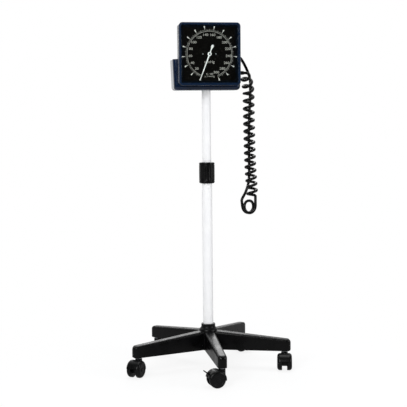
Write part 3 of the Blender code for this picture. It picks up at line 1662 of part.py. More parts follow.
def make_hose(mast):
    """Curled hose with its end loops, and the strand that returns behind it to the basket."""
    curls = hose_curls()
    loops = hose_loops(curls[-1] - Vector((0, 0, hose_diameter)))
    coiled = [*curls, *loops]
    put("hose_coil", tube_curve("hose_coil", coiled, hose_diameter, 1), hose_black, mast)
    way = (loops[-1] - loops[-2]).normalized()
    start = loops[-1] + way * seat_gap
    behind = coil_axis_points()[-1].y + coil_radius + hose_diameter + strand_gap
    mouth = Vector((connector_end_x + seat_gap, connector_place_y, connector_level()))
    hang = Vector((hose_side(), behind, port_mouth().z))
    rim = Vector((basket_top_width / 2, connector_place_y, connector_level()))
    route = [start, start + way * hose_diameter * 2]
    route += [hang + Vector((x, 0, z)) for x, z in strand_bends]
    route += [rim + Vector(bend) for bend in rim_bends]
    route += [mouth + Vector((hose_diameter, 0, 0)), mouth]
    strand = smooth_route(route, hose_diameter * strand_step_share)
    put("hose_return", tube_curve("hose_return", strand, hose_diameter, 2), hose_black, mast)
    whole = smooth_route([*coiled, *strand[1:]], hose_diameter / 2)
    print("least gap between turns of the hose", least_gap(whole, hose_diameter, neighbour_points))


# Bulb, valve, cuff and connector


def cuff_top():
    return basket_inner_floor + seat_gap + cuff_height


def connector_level():
    return cuff_top() + seat_gap + connector_grip_diameter / 2


def make_cuff(mast):
    """Cuff folded to and fro into a stack, and the connector that lies on it."""
    fold = cuff_height / cuff_fold_count
    length = cuff_length
    right = []
    for index in range(cuff_fold_count):
        middle = fold * (index + 0.5)
        for turn in cuff_fold_turns:
            bulge = cos(turn * pi) * cuff_fold_crease
            level = middle + turn * fold * cuff_fold_spread
            right.append((length - cuff_fold_crease + bulge, level))
    left = [(length - x, y) for x, y in reversed(right)]
    inset = 3 * cuff_fold_crease
    outline = [(length - inset, 0), *right, (length - inset, cuff_height),
               (inset, cuff_height), *left, (inset, 0)]
    mesh = plate("cuff", [outline], cuff_width)
    mesh.transform(Matrix.Rotation(pi / 2, 4, "X"))
    put("folded_cuff", mesh, cuff_nylon, mast,
        (cuff_left, cuff_front + cuff_width, basket_inner_floor + seat_gap))

    grip = connector_grip_diameter / 2
    radius = connector_diameter / 2
    length = connector_length
    cone = length * connector_cone_share
    neck = length * connector_neck_share
    ledge = length * connector_grip_share
    profile = [
        (0, length), (hose_diameter / 2, length), (radius, length - cone),
        (radius, length - neck), (grip, length - ledge), (grip, ledge), (radius, neck),
        (radius, cone), (hose_diameter / 2, 0), (0, 0),
    ]
    connector = along_x(turned("hose_connector", profile, small_steps))
    put("hose_connector", connector, black_nylon, mast,
        (connector_end_x - connector_length, connector_place_y, connector_level()))


def make_bulb(mast):
    """Inflation bulb standing in the basket, its inlet valve, release valve and screw."""
    holder = empty("bulb_place", mast, (bulb_place_x, bulb_place_y, basket_inner_floor))
    inlet_foot = seat_gap
    inlet_radius = inlet_valve_diameter / 2
    inlet_top = inlet_foot + inlet_valve_height
    inlet_profile = [
        (0, inlet_top), (inlet_radius, inlet_top),
        (inlet_radius, inlet_foot + inlet_valve_chamfer),
        (inlet_radius - inlet_valve_chamfer, inlet_foot), (0, inlet_foot),
    ]
    put("bulb_inlet_valve", turned("bulb_inlet_valve", inlet_profile, small_steps), zinc_steel,
        holder)
    bulb_foot = inlet_top + seat_gap
    neck = bulb_neck_diameter / 2
    profile = []
    for index in range(bulb_rows + 1):
        angle = pi * index / bulb_rows
        swell = sin(angle) ** bulb_fullness if index % bulb_rows else 0
        reach = neck + (bulb_diameter / 2 - neck) * swell
        profile.append((reach, bulb_foot + bulb_height * (1 + cos(angle)) / 2))
    bulb = turned("inflation_bulb", [(0, bulb_foot + bulb_height), *profile, (0, bulb_foot)],
                  wheel_steps)
    put("inflation_bulb", bulb, bulb_black, holder)

    valve_foot = bulb_foot + bulb_height + seat_gap
    radius = valve_diameter / 2
    valve_top = valve_foot + valve_height
    bore = valve_screw_stem_diameter / 2 + running_gap
    bore_foot = valve_top - valve_screw_stem_length - seat_gap
    valve_profile = [
        (0, bore_foot),
        (bore, bore_foot),
        (bore, valve_top),
        (radius * valve_end_share, valve_top),
        (radius, valve_top - radius * valve_top_chamfer_share),
        (radius, valve_foot + radius * valve_foot_chamfer_share),
        (radius * valve_end_share, valve_foot),
        (0, valve_foot),
    ]
    valve = put("release_valve", turned("release_valve", valve_profile, small_steps),
                zinc_steel, holder)
    barb_level = valve_foot + valve_height * valve_barb_share
    barb = along_x(rod("valve_barb", valve_barb_diameter / 2, radius / 2, valve_barb_length,
                       fine_steps))
    combine(valve, guide("valve_barb", barb, holder, (0, 0, barb_level)), "UNION")

    screw_axis = empty("release_screw_axis", holder)
    screw_foot = valve_top + seat_gap
    screw_radius = valve_screw_diameter / 2
    stem = valve_screw_stem_diameter / 2
    screw_top = screw_foot + valve_screw_height
    inset = screw_radius * valve_screw_edge_share
    edge = valve_screw_height * valve_screw_edge_share
    rows = [
        (0, screw_top),
        (screw_radius - inset, screw_top),
        (screw_radius, screw_top - edge),
        (screw_radius, screw_foot + edge),
        (screw_radius - inset, screw_foot),
        (stem, screw_foot),
        (stem, bore_foot + seat_gap),
        (0, bore_foot + seat_gap),
    ]
    steps = valve_screw_ridge_count * 2
    mesh = turned("release_screw", rows, steps)
    for vertex in mesh.vertices:
        reach = hypot(vertex.co.x, vertex.co.y)
        step = round(atan2(vertex.co.y, vertex.co.x) / (2 * pi / steps))
        if abs(reach - screw_radius) < weld_distance and step % 2:
            vertex.co.x *= (screw_radius - valve_screw_ridge_depth) / screw_radius
            vertex.co.y *= (screw_radius - valve_screw_ridge_depth) / screw_radius
    put("release_screw", mesh, zinc_steel, screw_axis)

    barb_end = Vector((bulb_place_x + valve_barb_length + seat_gap, bulb_place_y,
                       basket_inner_floor + barb_level))
    cuff_mouth = Vector((*bulb_hose_mouth, cuff_top() + seat_gap))
    lift = small_hose_diameter / 2
    span = cuff_mouth - barb_end
    route = [
        barb_end,
        barb_end + Vector((small_hose_diameter, 0, 0)),
        barb_end + Vector((span.x / 3, span.y / 4, lift)),
        barb_end + Vector((span.x * 2 / 3, span.y * 2 / 3, 2 * lift)),
        cuff_mouth + Vector((0, 0, small_hose_diameter)),
        cuff_mouth,
    ]
    bulb_hose = smooth_route(route, small_hose_diameter * small_hose_step_share)

    connector_back = Vector((connector_end_x - connector_length - seat_gap, connector_place_y,
                             connector_level()))
    cuff_mouth = Vector((*cuff_hose_mouth, cuff_top() + seat_gap))
    route = [
        connector_back,
        connector_back - Vector((small_hose_diameter, 0, 0)),
        (connector_back + cuff_mouth) / 2 + Vector((-small_hose_diameter / 2, 0, lift)),
        cuff_mouth + Vector((0, 0, small_hose_diameter)),
        cuff_mouth,
    ]
    cuff_hose = smooth_route(route, small_hose_diameter)
    for name, points in (("bulb_hose", bulb_hose), ("cuff_hose", cuff_hose)):
        put(name, tube_curve(name, points, small_hose_diameter, 2), hose_black, mast)


stand = empty("stand", place=(mast_offset_x, mast_offset_y, 0))
mast = empty("mast", stand)
make_base_star(stand)
make_mast_bolt(stand)
make_lower_tube(stand)
make_collar(stand)
make_casters(stand)
make_upper_mast(mast)
basket = make_basket(mast)
make_socket(mast, basket)
gauge_head = empty("gauge_head", mast, (0, gauge_back, gauge_centre_z), (pi / 2, 0, 0))
case = make_gauge_case(gauge_head)
tilt_axis = empty("tilt_axis", mast, (0, hinge_y, hinge_z))
make_hinge(tilt_axis, basket, case)
make_dial(gauge_head)
make_movement(gauge_head)
make_port(gauge_head)
make_hose(mast)
make_cuff(mast)
make_bulb(mast)
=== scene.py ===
"""Stand blood pressure gauge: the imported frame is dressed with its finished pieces.

Metres, +Z up, the dial faces -Y. The sections follow the stand as it is put together: studio,
star base, casters, mast, basket, gauge head, hose, bulb and cuff.
"""

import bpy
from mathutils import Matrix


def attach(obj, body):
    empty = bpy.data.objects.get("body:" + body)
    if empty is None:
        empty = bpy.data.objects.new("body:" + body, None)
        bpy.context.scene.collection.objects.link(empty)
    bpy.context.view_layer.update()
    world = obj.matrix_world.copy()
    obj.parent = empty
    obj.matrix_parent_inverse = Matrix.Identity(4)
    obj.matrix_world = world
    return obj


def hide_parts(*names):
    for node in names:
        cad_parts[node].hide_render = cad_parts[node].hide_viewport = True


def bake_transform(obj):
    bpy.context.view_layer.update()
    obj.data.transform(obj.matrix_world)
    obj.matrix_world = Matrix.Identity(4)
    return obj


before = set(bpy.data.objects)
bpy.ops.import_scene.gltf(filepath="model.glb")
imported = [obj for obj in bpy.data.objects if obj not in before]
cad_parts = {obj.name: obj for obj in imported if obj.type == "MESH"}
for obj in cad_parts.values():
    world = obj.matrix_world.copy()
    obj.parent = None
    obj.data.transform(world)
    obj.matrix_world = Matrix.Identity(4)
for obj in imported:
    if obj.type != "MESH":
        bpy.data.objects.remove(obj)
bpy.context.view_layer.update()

import bisect
import random
from math import atan2, ceil, copysign, cos, hypot, pi, radians, sin, sqrt

import bmesh
import bpy
from mathutils import Matrix, Vector

# Studio: a white product sweep in a darker room. A broad softbox hangs over the stand, one
# stands at the front left, a weaker one at the right, and a high one behind draws the bright
# lines on the black legs. The camera stands left of the mast, a little below the dial.

scene = bpy.context.scene
scene.view_settings.view_transform = "Standard"


def colour(code):
    """Linear colour from an sRGB hex value, or a linear grey."""
    if not isinstance(code, str):
        return (code, code, code, 1.0)
    parts = [int(code[i : i + 2], 16) / 255 for i in (1, 3, 5)]
    linear = [c / 12.92 if c <= 0.04045 else ((c + 0.055) / 1.055) ** 2.4 for c in parts]
    return (*linear, 1.0)


def feed(socket, value):
    """Set an input from a value, a hex colour, a node, or a pair of a node and its output."""
    pair = value if isinstance(value, tuple) else (value, 0)
    if hasattr(pair[0], "outputs"):
        socket.id_data.links.new(pair[0].outputs[pair[1]], socket)
    else:
        socket.default_value = colour(value) if isinstance(value, str) else value


def add(tree, kind, inputs=None, **settings):
    """Add a node, a shader's unless its kind begins with Geometry."""
    made = tree.nodes.new(kind if kind.startswith("Geometry") else f"ShaderNode{kind}")
    for key, value in settings.items():
        setattr(made, key, value)
    for key, value in (inputs or {}).items():
        feed(made.inputs[key], value)
    return made


def tree_of(source):
    return (source[0] if isinstance(source, tuple) else source).id_data


def maths(operation, *values):
    """A math node; its first value comes from a node."""
    return add(tree_of(values[0]), "Math", dict(enumerate(values)), operation=operation)


def ranged(source, start, end, low=0.0, high=1.0, **settings):
    """Map the values from start to end to those from low to high."""
    return add(tree_of(source), "MapRange", {
        "Value": source, "From Min": start, "From Max": end, "To Min": low, "To Max": high},
        **settings)


def ramp(source, *stops):
    """Colours along a value, each stop a position and a colour."""
    made = add(tree_of(source), "ValToRGB", {"Fac": source})
    elements = made.color_ramp.elements
    elements[0].position, elements[1].position = stops[0][0], stops[-1][0]
    for position, _ in stops[1:-1]:
        elements.new(position)
    for element, (_, shade) in zip(elements, stops):
        element.color = colour(shade)
    return made


def cleared(owner):
    """The emptied node tree of a material or world."""
    owner.use_nodes = True
    owner.node_tree.nodes.clear()
    return owner.node_tree


def shown(tree, output, lighting, mirrored, pictured):
    """End a tree: a shader that lights, one for mirrors and glass and one for the camera."""
    path = add(tree, "LightPath")
    direct, glossy, passing = ((path, f"Is {ray} Ray")
                               for ray in ("Camera", "Glossy", "Transmission"))
    seen = maths("MAXIMUM", maths("MAXIMUM", direct, glossy), passing)
    inner = add(tree, "MixShader", {0: direct, 1: mirrored, 2: pictured})
    add(tree, output, {"Surface": add(tree, "MixShader", {0: seen, 1: lighting, 2: inner})})


def linked(name, data):
    """A new object in the scene."""
    made = bpy.data.objects.new(name, data)
    scene.collection.objects.link(made)
    return made


def corners(x, y, far_x, far_y):
    return [(x, y), (far_x, y), (far_x, far_y), (x, far_y)]


camera_data = bpy.data.cameras.new("photo_camera")
camera_data.sensor_width = 36.0
camera_data.lens = 85.49
camera = linked("photo_camera", camera_data)
camera_right = Vector((0.98743525, -0.15773486, -0.00955702))
camera_up = Vector((0.02295203, 0.08331946, 0.99625854))
camera_back = -Vector((0.15634842, 0.98396015, -0.08589291))
camera_turn = Matrix((camera_right, camera_up, camera_back)).transposed().to_4x4()
camera.matrix_world = Matrix.Translation((-0.37793, -2.34963, 0.61962)) @ camera_turn
scene.camera = camera

world = bpy.data.worlds.new("white_studio")
scene.world = world
tree = cleared(world)
parts = add(tree, "SeparateXYZ", {0: (add(tree, "TexCoord"), "Generated")})
backdrop = ranged((parts, "Y"), -0.3, 0.85, 0.0, 1.25, interpolation_type="SMOOTHSTEP")
rise = ramp(ranged((parts, "Z"), -0.1, 0.9), (0.1, 0.85), (0.17, 0.85), (0.25, 0.2),
            (0.36, 0.12), (0.46, 0.55), (0.56, 0.95))
room = maths("MULTIPLY_ADD", backdrop, rise, 0.025)
shown(tree, "OutputWorld", *(
    add(tree, "Background", {"Color": code, "Strength": strength})
    for code, strength in (("#f4f6fa", 0.42), ("#ffffff", room), ("#ffffff", 1.0))))

for name, spot, aim, size, power in (
    ("top_softbox", (0.1, 0.3, 2.4), (0.0, 0.0, 0.3), 1.5, 22.0),
    ("front_left_softbox", (-1.5, -2.2, 1.6), (0.0, 0.0, 0.5), 1.3, 52.0),
    ("right_softbox", (2.0, -1.2, 1.0), (0.0, 0.0, 0.5), 1.1, 18.0),
    ("back_softbox", (0.3, 2.3, 1.4), (0.0, 0.0, 0.2), 1.0, 12.0),
):
    lamp_data = bpy.data.lights.new(name, "AREA")
    lamp_data.shape = "SQUARE"
    lamp_data.size = size
    lamp_data.energy = power
    facing = (Vector(aim) - Vector(spot)).to_track_quat("-Z", "Y").to_matrix().to_4x4()
    linked(name, lamp_data).matrix_world = Matrix.Translation(spot) @ facing

floor_half = 6.0
floor_mesh = bpy.data.meshes.new("studio_floor")
floor_mesh.from_pydata([(x, y, 0) for x, y in corners(
    -floor_half, -floor_half, floor_half, floor_half)], [], [(0, 1, 2, 3)])
floor_look = bpy.data.materials.new("studio_floor_paper")
tree = cleared(floor_look)
place = (add(tree, "TexCoord"), "Object")
reach = add(tree, "VectorMath", {0: place}, operation="LENGTH")
far = ranged((reach, "Value"), 0.3, 0.75, interpolation_type="SMOOTHSTEP")
fibres = add(tree, "TexNoise", {"Vector": place, "Scale": 700.0})
tooth = add(tree, "Bump", {"Height": fibres, "Strength": 0.05, "Distance": 0.0002})
paper, shaded = (add(tree, "BsdfDiffuse", {"Color": code, "Normal": tooth})
                 for code in ("#dcdcdc", "#6a6a6a"))
glow, white, dim = (add(tree, "Emission", {"Color": "#ffffff", "Strength": strength})
                    for strength in (0.84, 1.0, 0.45))
near = add(tree, "AddShader", {0: shaded, 1: glow})
sweep = add(tree, "MixShader", {0: far, 1: near, 2: white})
shown(tree, "OutputMaterial", paper, dim, sweep)
floor_mesh.materials.append(floor_look)
floor = linked("studio_floor", floor_mesh)

# Star base: five hollow moulded legs on one hub, satin black glass-filled nylon in one shot.
# The mast's foot drops in the hub's bore, and a socket in each leg's end takes a caster's stem.


def new_look(name):
    """A material with its principled shader and its object coordinates."""
    look = bpy.data.materials.new(name)
    tree = cleared(look)
    shader = add(tree, "BsdfPrincipled")
    add(tree, "OutputMaterial", {"Surface": shader})
    return look, tree, shader, (add(tree, "TexCoord"), "Object")


def noise(place, scale, detail=3.0):
    return add(tree_of(place), "TexNoise", {"Vector": place, "Scale": scale, "Detail": detail})


def between(source, low, high):
    """Map a texture's middle range to a range of values."""
    return ranged(source, 0.3, 0.7, low, high)


def tones(source, dark, light):
    """Colours from dark to light along a texture's middle range."""
    return ramp(source, (0.3, dark), (0.7, light))


def inked(share, first, second):
    """Two colours, mixed by a share."""
    return add(tree_of(share), "Mix", {0: share, 6: first, 7: second}, data_type="RGBA"), 2


def raised(source, strength, depth, below=None):
    inputs = {"Height": source, "Strength": strength, "Distance": depth}
    return add(tree_of(source), "Bump", {**inputs, "Normal": below} if below else inputs)


def wire(shader, **sources):
    """Feed the shader's sockets from nodes or values."""
    sockets = {"base": "Base Color", "rough": "Roughness", "normal": "Normal",
               "metal": "Metallic", "ior": "IOR", "gloss": "Specular IOR Level",
               "sheen": "Sheen Weight"}
    for key, source in sources.items():
        feed(shader.inputs[sockets[key]], source)


def arc(radius, start, end, steps, centre=(0, 0)):
    """Points on a circle from one angle to another, in degrees."""
    angles = [radians(start + (end - start) * k / steps) for k in range(steps + 1)]
    return [(centre[0] + radius * cos(a), centre[1] + radius * sin(a)) for a in angles]


def turned(profile, steps=64, ring=False):
    """Revolve a profile of radius and height round Z; a ring's profile closes on itself."""
    ways = arc(1, 0, 360, steps)[:-1]
    rows = [[(radius * x, radius * y, height) for x, y in ways] for radius, height in profile]
    return skin(rows, loop=ring, caps=False)


def skin(rows, loop=False, caps=True, clean=True):
    """Close a mesh over rows of points, each row a closed loop with the same count."""
    body = bmesh.new()
    made = [[body.verts.new(point) for point in row] for row in rows]
    for first, second in zip(made, made[1:] + made[:1] if loop else made[1:]):
        for k in range(len(first)):
            n = (k + 1) % len(first)
            body.faces.new((first[k], first[n], second[n], second[k]))
    if caps and not loop:
        body.faces.new(made[0][::-1])
        body.faces.new(made[-1])
    if clean:
        bmesh.ops.remove_doubles(body, verts=body.verts, dist=1e-7)
        bmesh.ops.dissolve_degenerate(body, dist=1e-8, edges=body.edges)
    bmesh.ops.recalc_face_normals(body, faces=body.faces)
    return as_mesh(body)


def as_mesh(body):
    mesh = bpy.data.meshes.new("piece")
    body.to_mesh(mesh)
    body.free()
    return mesh


def eased(points, radius, steps=4, closed=False):
    """Round the corners of an outline; the radius is one number or one for each corner."""
    count = len(points)
    made = []
    for index, point in enumerate(points):
        reach = radius[index] if isinstance(radius, (list, tuple)) else radius
        if reach <= 0 or (not closed and index in (0, count - 1)):
            made.append(tuple(point))
            continue
        here = Vector(point)
        before = Vector(points[index - 1]) - here
        after = Vector(points[(index + 1) % count]) - here
        cut = min(reach, before.length * 0.45, after.length * 0.45)
        start, end = here + before.normalized() * cut, here + after.normalized() * cut
        for step in range(steps + 1):
            t = step / steps
            made.append(tuple(start * (1 - t) ** 2 + here * 2 * t * (1 - t) + end * t**2))
    return made


def rod(radius, top, foot, steps, edge=0):
    """A round rod along Z."""
    return turned(eased(corners(0, top, radius, foot), edge), steps)


def box_outline(width, height, radius, steps=6, centre=(0, 0)):
    """Points round a rectangle with circular corners, anticlockwise."""
    x, y = width / 2 - radius, height / 2 - radius
    points = []
    for start, sx, sy in ((0, x, y), (90, -x, y), (180, -x, -y), (270, x, -y)):
        points += arc(radius, start, start + 90, steps, (centre[0] + sx, centre[1] + sy))
    return points


def drawn_in(outline, depth):
    """Move every point of an anticlockwise outline inward."""
    least_turn = 0.35
    made = []
    for index, point in enumerate(outline):
        here = Vector(point)
        back = (here - Vector(outline[index - 1])).normalized()
        ahead = (Vector(outline[(index + 1) % len(outline)]) - here).normalized()
        middle = (back + ahead).normalized()
        scale = depth / max(least_turn, middle.dot(back))
        made.append((here.x - middle.y * scale, here.y + middle.x * scale))
    return made


def quarter(steps):
    """Pairs of 1 - cos and 1 - sin from 0 to 90 degrees."""
    return [(1 - x, 1 - y) for x, y in arc(1, 0, 90, steps)]


def slab(outline, low, high, edge=0.0003, steps=3):
    """A flat piece between two heights with its rims rounded."""
    rims = [(edge * lift, edge * inward) for lift, inward in quarter(steps)]
    levels = [(low + lift, inward) for lift, inward in rims]
    levels += [(high - lift, inward) for lift, inward in rims[::-1]]
    return skin([[(x, y, level) for x, y in drawn_in(outline, inward)]
                 for level, inward in levels])


def shift(x, y, z):
    return Matrix.Translation((x, y, z))


def spin(degrees, axis):
    return Matrix.Rotation(radians(degrees), 4, axis)


def placed(mesh, matrix):
    mesh.transform(matrix)
    return mesh


def joined(*meshes):
    """Several meshes as one."""
    body = bmesh.new()
    for mesh in meshes:
        body.from_mesh(mesh)
    return as_mesh(body)


def shaped(holder, *passing):
    """The mesh of an object with its modifiers run; what only passes is removed."""
    bpy.context.view_layer.update()
    graph = bpy.context.evaluated_depsgraph_get()
    made = bpy.data.meshes.new_from_object(holder.evaluated_get(graph))
    for thing in passing:
        bpy.data.objects.remove(thing)
    return made


def carved(mesh, other, operation="DIFFERENCE"):
    """Join or cut two closed meshes with an exact Boolean."""
    holders = [linked("carved", m) for m in (mesh, other)]
    modifier = holders[0].modifiers.new("carve", "BOOLEAN")
    modifier.operation = operation
    modifier.solver = "EXACT"
    modifier.object = holders[1]
    return shaped(holders[0], *holders)


def fit(name, mesh, place, look, body, *nodes, sharp=35):
    """Link a placed mesh as a piece that rides on a body and stands for its CAD nodes.

    Normals follow the larger faces, so that a flat face stays flat up to its rounded rim.
    """
    mesh.transform(place)
    mesh.materials.clear()
    mesh.materials.append(look)
    mesh.shade_smooth()
    mesh.set_sharp_from_angle(angle=radians(sharp))
    piece = linked(name, mesh)
    if body is not None:
        piece.modifiers.new("flat_faces_lead", "WEIGHTED_NORMAL").keep_sharp = True
        piece.data = shaped(piece)
        piece.modifiers.clear()
        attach(piece, body)
    if nodes:
        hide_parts(*nodes)
    return piece


def black_moulding(name, dark, light, rough, edge_round):
    """Black nylon: spark-eroded grain, patchy satin, and a thin film of dust on what faces up."""
    look, tree, shader, place = new_look(name)
    patches = noise(place, 35.0)
    soft = add(tree, "Bevel", {"Radius": edge_round}, samples=4)
    up = add(tree, "SeparateXYZ", {0: (add(tree, "NewGeometry"), "Normal")})
    specks = between(noise(place, 160.0, 5.0), 0.2, 1.0)
    film = maths("MULTIPLY", ranged((up, "Z"), 0.75, 1.0, 0.0, 0.18), specks)
    wire(shader, base=inked(film, tones(patches, dark, light), "#2c2c2e"), ior=1.53, gloss=0.16,
         rough=between(patches, *rough),
         normal=raised(noise(place, 2600.0, 2.0), 0.22, 0.00012, soft))
    return look


black_nylon = black_moulding("satin_black_nylon", "#040404", "#09090a",
                             (0.24, 0.34), 0.0009)
mast_x = 0.0076
mast_y = 0.0183
mast_place = shift(mast_x, mast_y, 0)
leg_reach = 0.207
leg_foot = 0.0462
leg_count = 5
leg_turns = [spin(-90 + 72 * k, "Z") for k in range(leg_count)]
caster_circle = 0.1915
hub_top = leg_foot + 0.0645
hub_edge = 0.02625
pocket_rib = 0.0025
pocket_count = 3


def leg_section(reach, inward, foot, top, low, high, steps):
    """Outline across a leg with its sides moved in and its lower and upper edges rounded."""
    half = (0.027 - 0.005 * reach / leg_reach) / 2 - inward
    low, high = min(low, half * 0.4), min(high, half * 1.2)
    return [(reach, y, z) for y, z in eased(
        corners(-half, foot, half, top), [low, low, high, high], steps, True)]


def leg_mesh():
    """One tapered leg with a flat underside, rounded upper edges and a rounded end."""
    def end_curve(reach, radius):
        past = max(0.0, reach - leg_reach + radius)
        return radius - sqrt(max(0.0, radius**2 - past**2))

    side_round, brow, toe = 0.0099, 0.0085, 0.0035
    stations = [0.004, 0.05, 0.1, 0.15, 0.18]
    stations += [leg_reach - side_round * (1 - sin(k * pi / 20)) for k in range(11)]
    return skin([leg_section(
        reach, end_curve(reach, side_round), leg_foot + end_curve(reach, toe),
        leg_foot + 0.049 - 0.0205 * reach / leg_reach - end_curve(reach, brow),
        0.0006, 0.00675, 6) for reach in stations])


def leg_pocket(inner, outer):
    """Tapered block that hollows a leg from below."""
    return skin([leg_section(reach, 0.003, leg_foot - 0.002,
                             leg_foot + 0.046 - 0.019 * reach / leg_reach, 0, 0.003, 4)
                 for reach in (inner, outer)])


star = turned(eased([
    (0.0, hub_top), (0.0175, hub_top), (0.0175, hub_top - 0.0085), (0.02325, hub_top - 0.0145),
    (0.02325, leg_foot - 0.0005), (0.0, leg_foot - 0.0005)], [0, 0.0016, 0.003, 0.003, 0.0008, 0],
    5), 96)
boss = turned([(0, leg_foot + 0.003), (0.00925, leg_foot + 0.003), (0.00925, leg_foot - 0.0007),
               (0.0089, leg_foot - 0.001), (0, leg_foot - 0.001)], 40)
socket = rod(0.0057, leg_foot + 0.0203, leg_foot - 0.003, 32)
mast_bore = turned([(0, hub_top + 0.002), (0.0128, hub_top + 0.002), (0.0128, leg_foot + 0.009),
                    (0.0043, leg_foot + 0.009), (0.0043, leg_foot - 0.003),
                    (0, leg_foot - 0.003)], 72)
pocket_step = (leg_reach - 0.031 - hub_edge + pocket_rib) / pocket_count
pockets = [leg_pocket(hub_edge + k * pocket_step, hub_edge + (k + 1) * pocket_step - pocket_rib)
           for k in range(pocket_count)]
leg_end = shift(caster_circle, 0, 0)
hollows = joined(*pockets, placed(socket, leg_end))
for added in (leg_mesh(), placed(boss, leg_end)):
    for turn in leg_turns:
        star = carved(star, placed(added.copy(), turn), "UNION")
for turn in leg_turns:
    star = carved(star, placed(hollows.copy(), turn))
fit("star_base", carved(star, mast_bore), mast_place, black_nylon, "base", "base_star", sharp=30)

# Mast bolt: a zinc-plated flanged hexagon bolt pulls the lower tube down on the hub's web.


def plated(name, dark, light, rough):
    """Metal with faint plating clouds and fine drawn scratches."""
    look, tree, shader, place = new_look(name)
    clouds = noise(place, 220.0)
    stretched = add(tree, "Mapping", {"Vector": place, "Scale": (900.0, 900.0, 9000.0)})
    lines = add(tree, "TexNoise", {"Vector": stretched, "Scale": 1.0})
    wire(shader, base=tones(clouds, dark, light), rough=between(clouds, *rough), metal=1.0,
         normal=raised(lines, 0.12, 0.00005))
    return look


zinc_steel = plated("bright_zinc_plate", "#a9aeb3", "#c6cacd", (0.24, 0.36))
bolt_top = leg_foot - 0.0008
bolt = turned(eased([(0, bolt_top + 0.027), (0.004, bolt_top + 0.027), (0.004, bolt_top),
                     (0.011, bolt_top), (0.011, bolt_top - 0.0016), (0, bolt_top - 0.0016)],
                    0.0005), 48)
bolt_head = slab(arc(0.0075, 0, 300, 5), bolt_top - 0.0069, bolt_top - 0.0012, 0.0006)
fit("mast_bolt_steel", joined(bolt, bolt_head), mast_place, zinc_steel, "base", "mast_bolt")

# Casters: twin 40 mm wheels of hard black nylon under a moulded hood, each on a plated stem
# that turns in its leg. The front one has a foot lever for its brake.

wheel_nylon = black_moulding("matte_wheel_nylon", "#060607", "#0e0e0f",
                             (0.36, 0.5), 0.0004)
axle_height = 0.019616
trail = 0.0145
hood_radius = 0.0226
hood_room = 0.0208
hood_shoulder = 0.0072
room_shoulder = 0.007
web_half = 0.0061
caster_top = axle_height + hood_radius + 0.0006
stand_up = spin(90, "X")
axle_place = shift(trail, 0, axle_height)


def caster_body(braked):
    """Hood, web and boss of a caster about its swivel axis, trailing toward +X."""
    outline = arc(hood_radius, 14, 186, 48) + arc(0.0095, 186, 374, 32)
    shoulder = arc(hood_shoulder, 0, 90, 8, (hood_radius - hood_shoulder, 0.0109))
    drum = turned([(0, -0.0181), *[(r, -z) for r, z in shoulder[::-1]], *shoulder, (0, 0.0181)],
                  96)
    body = carved(slab(outline, -0.019, 0.019, 0.0002), drum, "INTERSECT")
    boss = rod(0.0085, caster_top, caster_top - 0.013, 40, 0.0008)
    body = carved(placed(body, axle_place @ stand_up), boss, "UNION")
    brow = arc(room_shoulder, 0, 78, 8, (hood_room - room_shoulder, 0.0111))
    for side in (-90, 90):
        room = turned([(0, web_half), (hood_room, web_half), *brow, (brow[-1][0], 0.037),
                       (0, 0.037)], 96)
        body = carved(body, placed(room, axle_place @ spin(side, "X")))
    if braked:
        slot = slab(eased([(-0.002, -0.002), (0.006, -0.012), (0.02, -0.012), (0.02, 0.012),
                           (0.006, 0.0105), (-0.002, 0.002)], 0.0015, 4, True),
                    -0.0025, 0.0025, 0.0001)
        pin_place = shift(trail + 0.0122, 0, axle_height + 0.0089)
        body = carved(body, placed(slot, pin_place @ spin(-10, "Y") @ stand_up))
    return body


wheel_radius = 0.0196
wheel_shoulder = 0.0068
wheel_profile = [
    (0, 0.012), (0.0035, 0.0119), (0.0052, 0.0112), (0.0056, 0.0104), (0.0066, 0.0103),
    (0.0071, 0.0107), (0.0116, 0.0107), (0.0123, 0.0111), (0.0126, 0.0116), (0.0132, 0.012),
    *arc(wheel_shoulder, 75, 0, 10, (wheel_radius - wheel_shoulder, 0.0053)),
    *arc(0.001, 0, -90, 4, (wheel_radius - 0.001, 0.001)),
    (0.006, 0.0), (0.0056, 0.0003), (0.0027, 0.0003), (0.0027, 0.0104), (0, 0.0104)]
stem_profile = eased([
    (0, leg_foot + 0.02), (0.0055, leg_foot + 0.02), (0.0055, leg_foot - 0.0013),
    (0.00725, leg_foot - 0.0013), (0.00725, leg_foot - 0.0027), (0.0035, leg_foot - 0.0027),
    (0.0035, caster_top - 0.014), (0, caster_top - 0.014)],
    [0, 0.0015, 0.0003, 0.0004, 0.0004, 0.0002, 0.0005, 0])
axle_end = rod(0.0025, 0.0155, -0.0155, 24, 0.0004)
bodies = {True: caster_body(True), False: caster_body(False)}
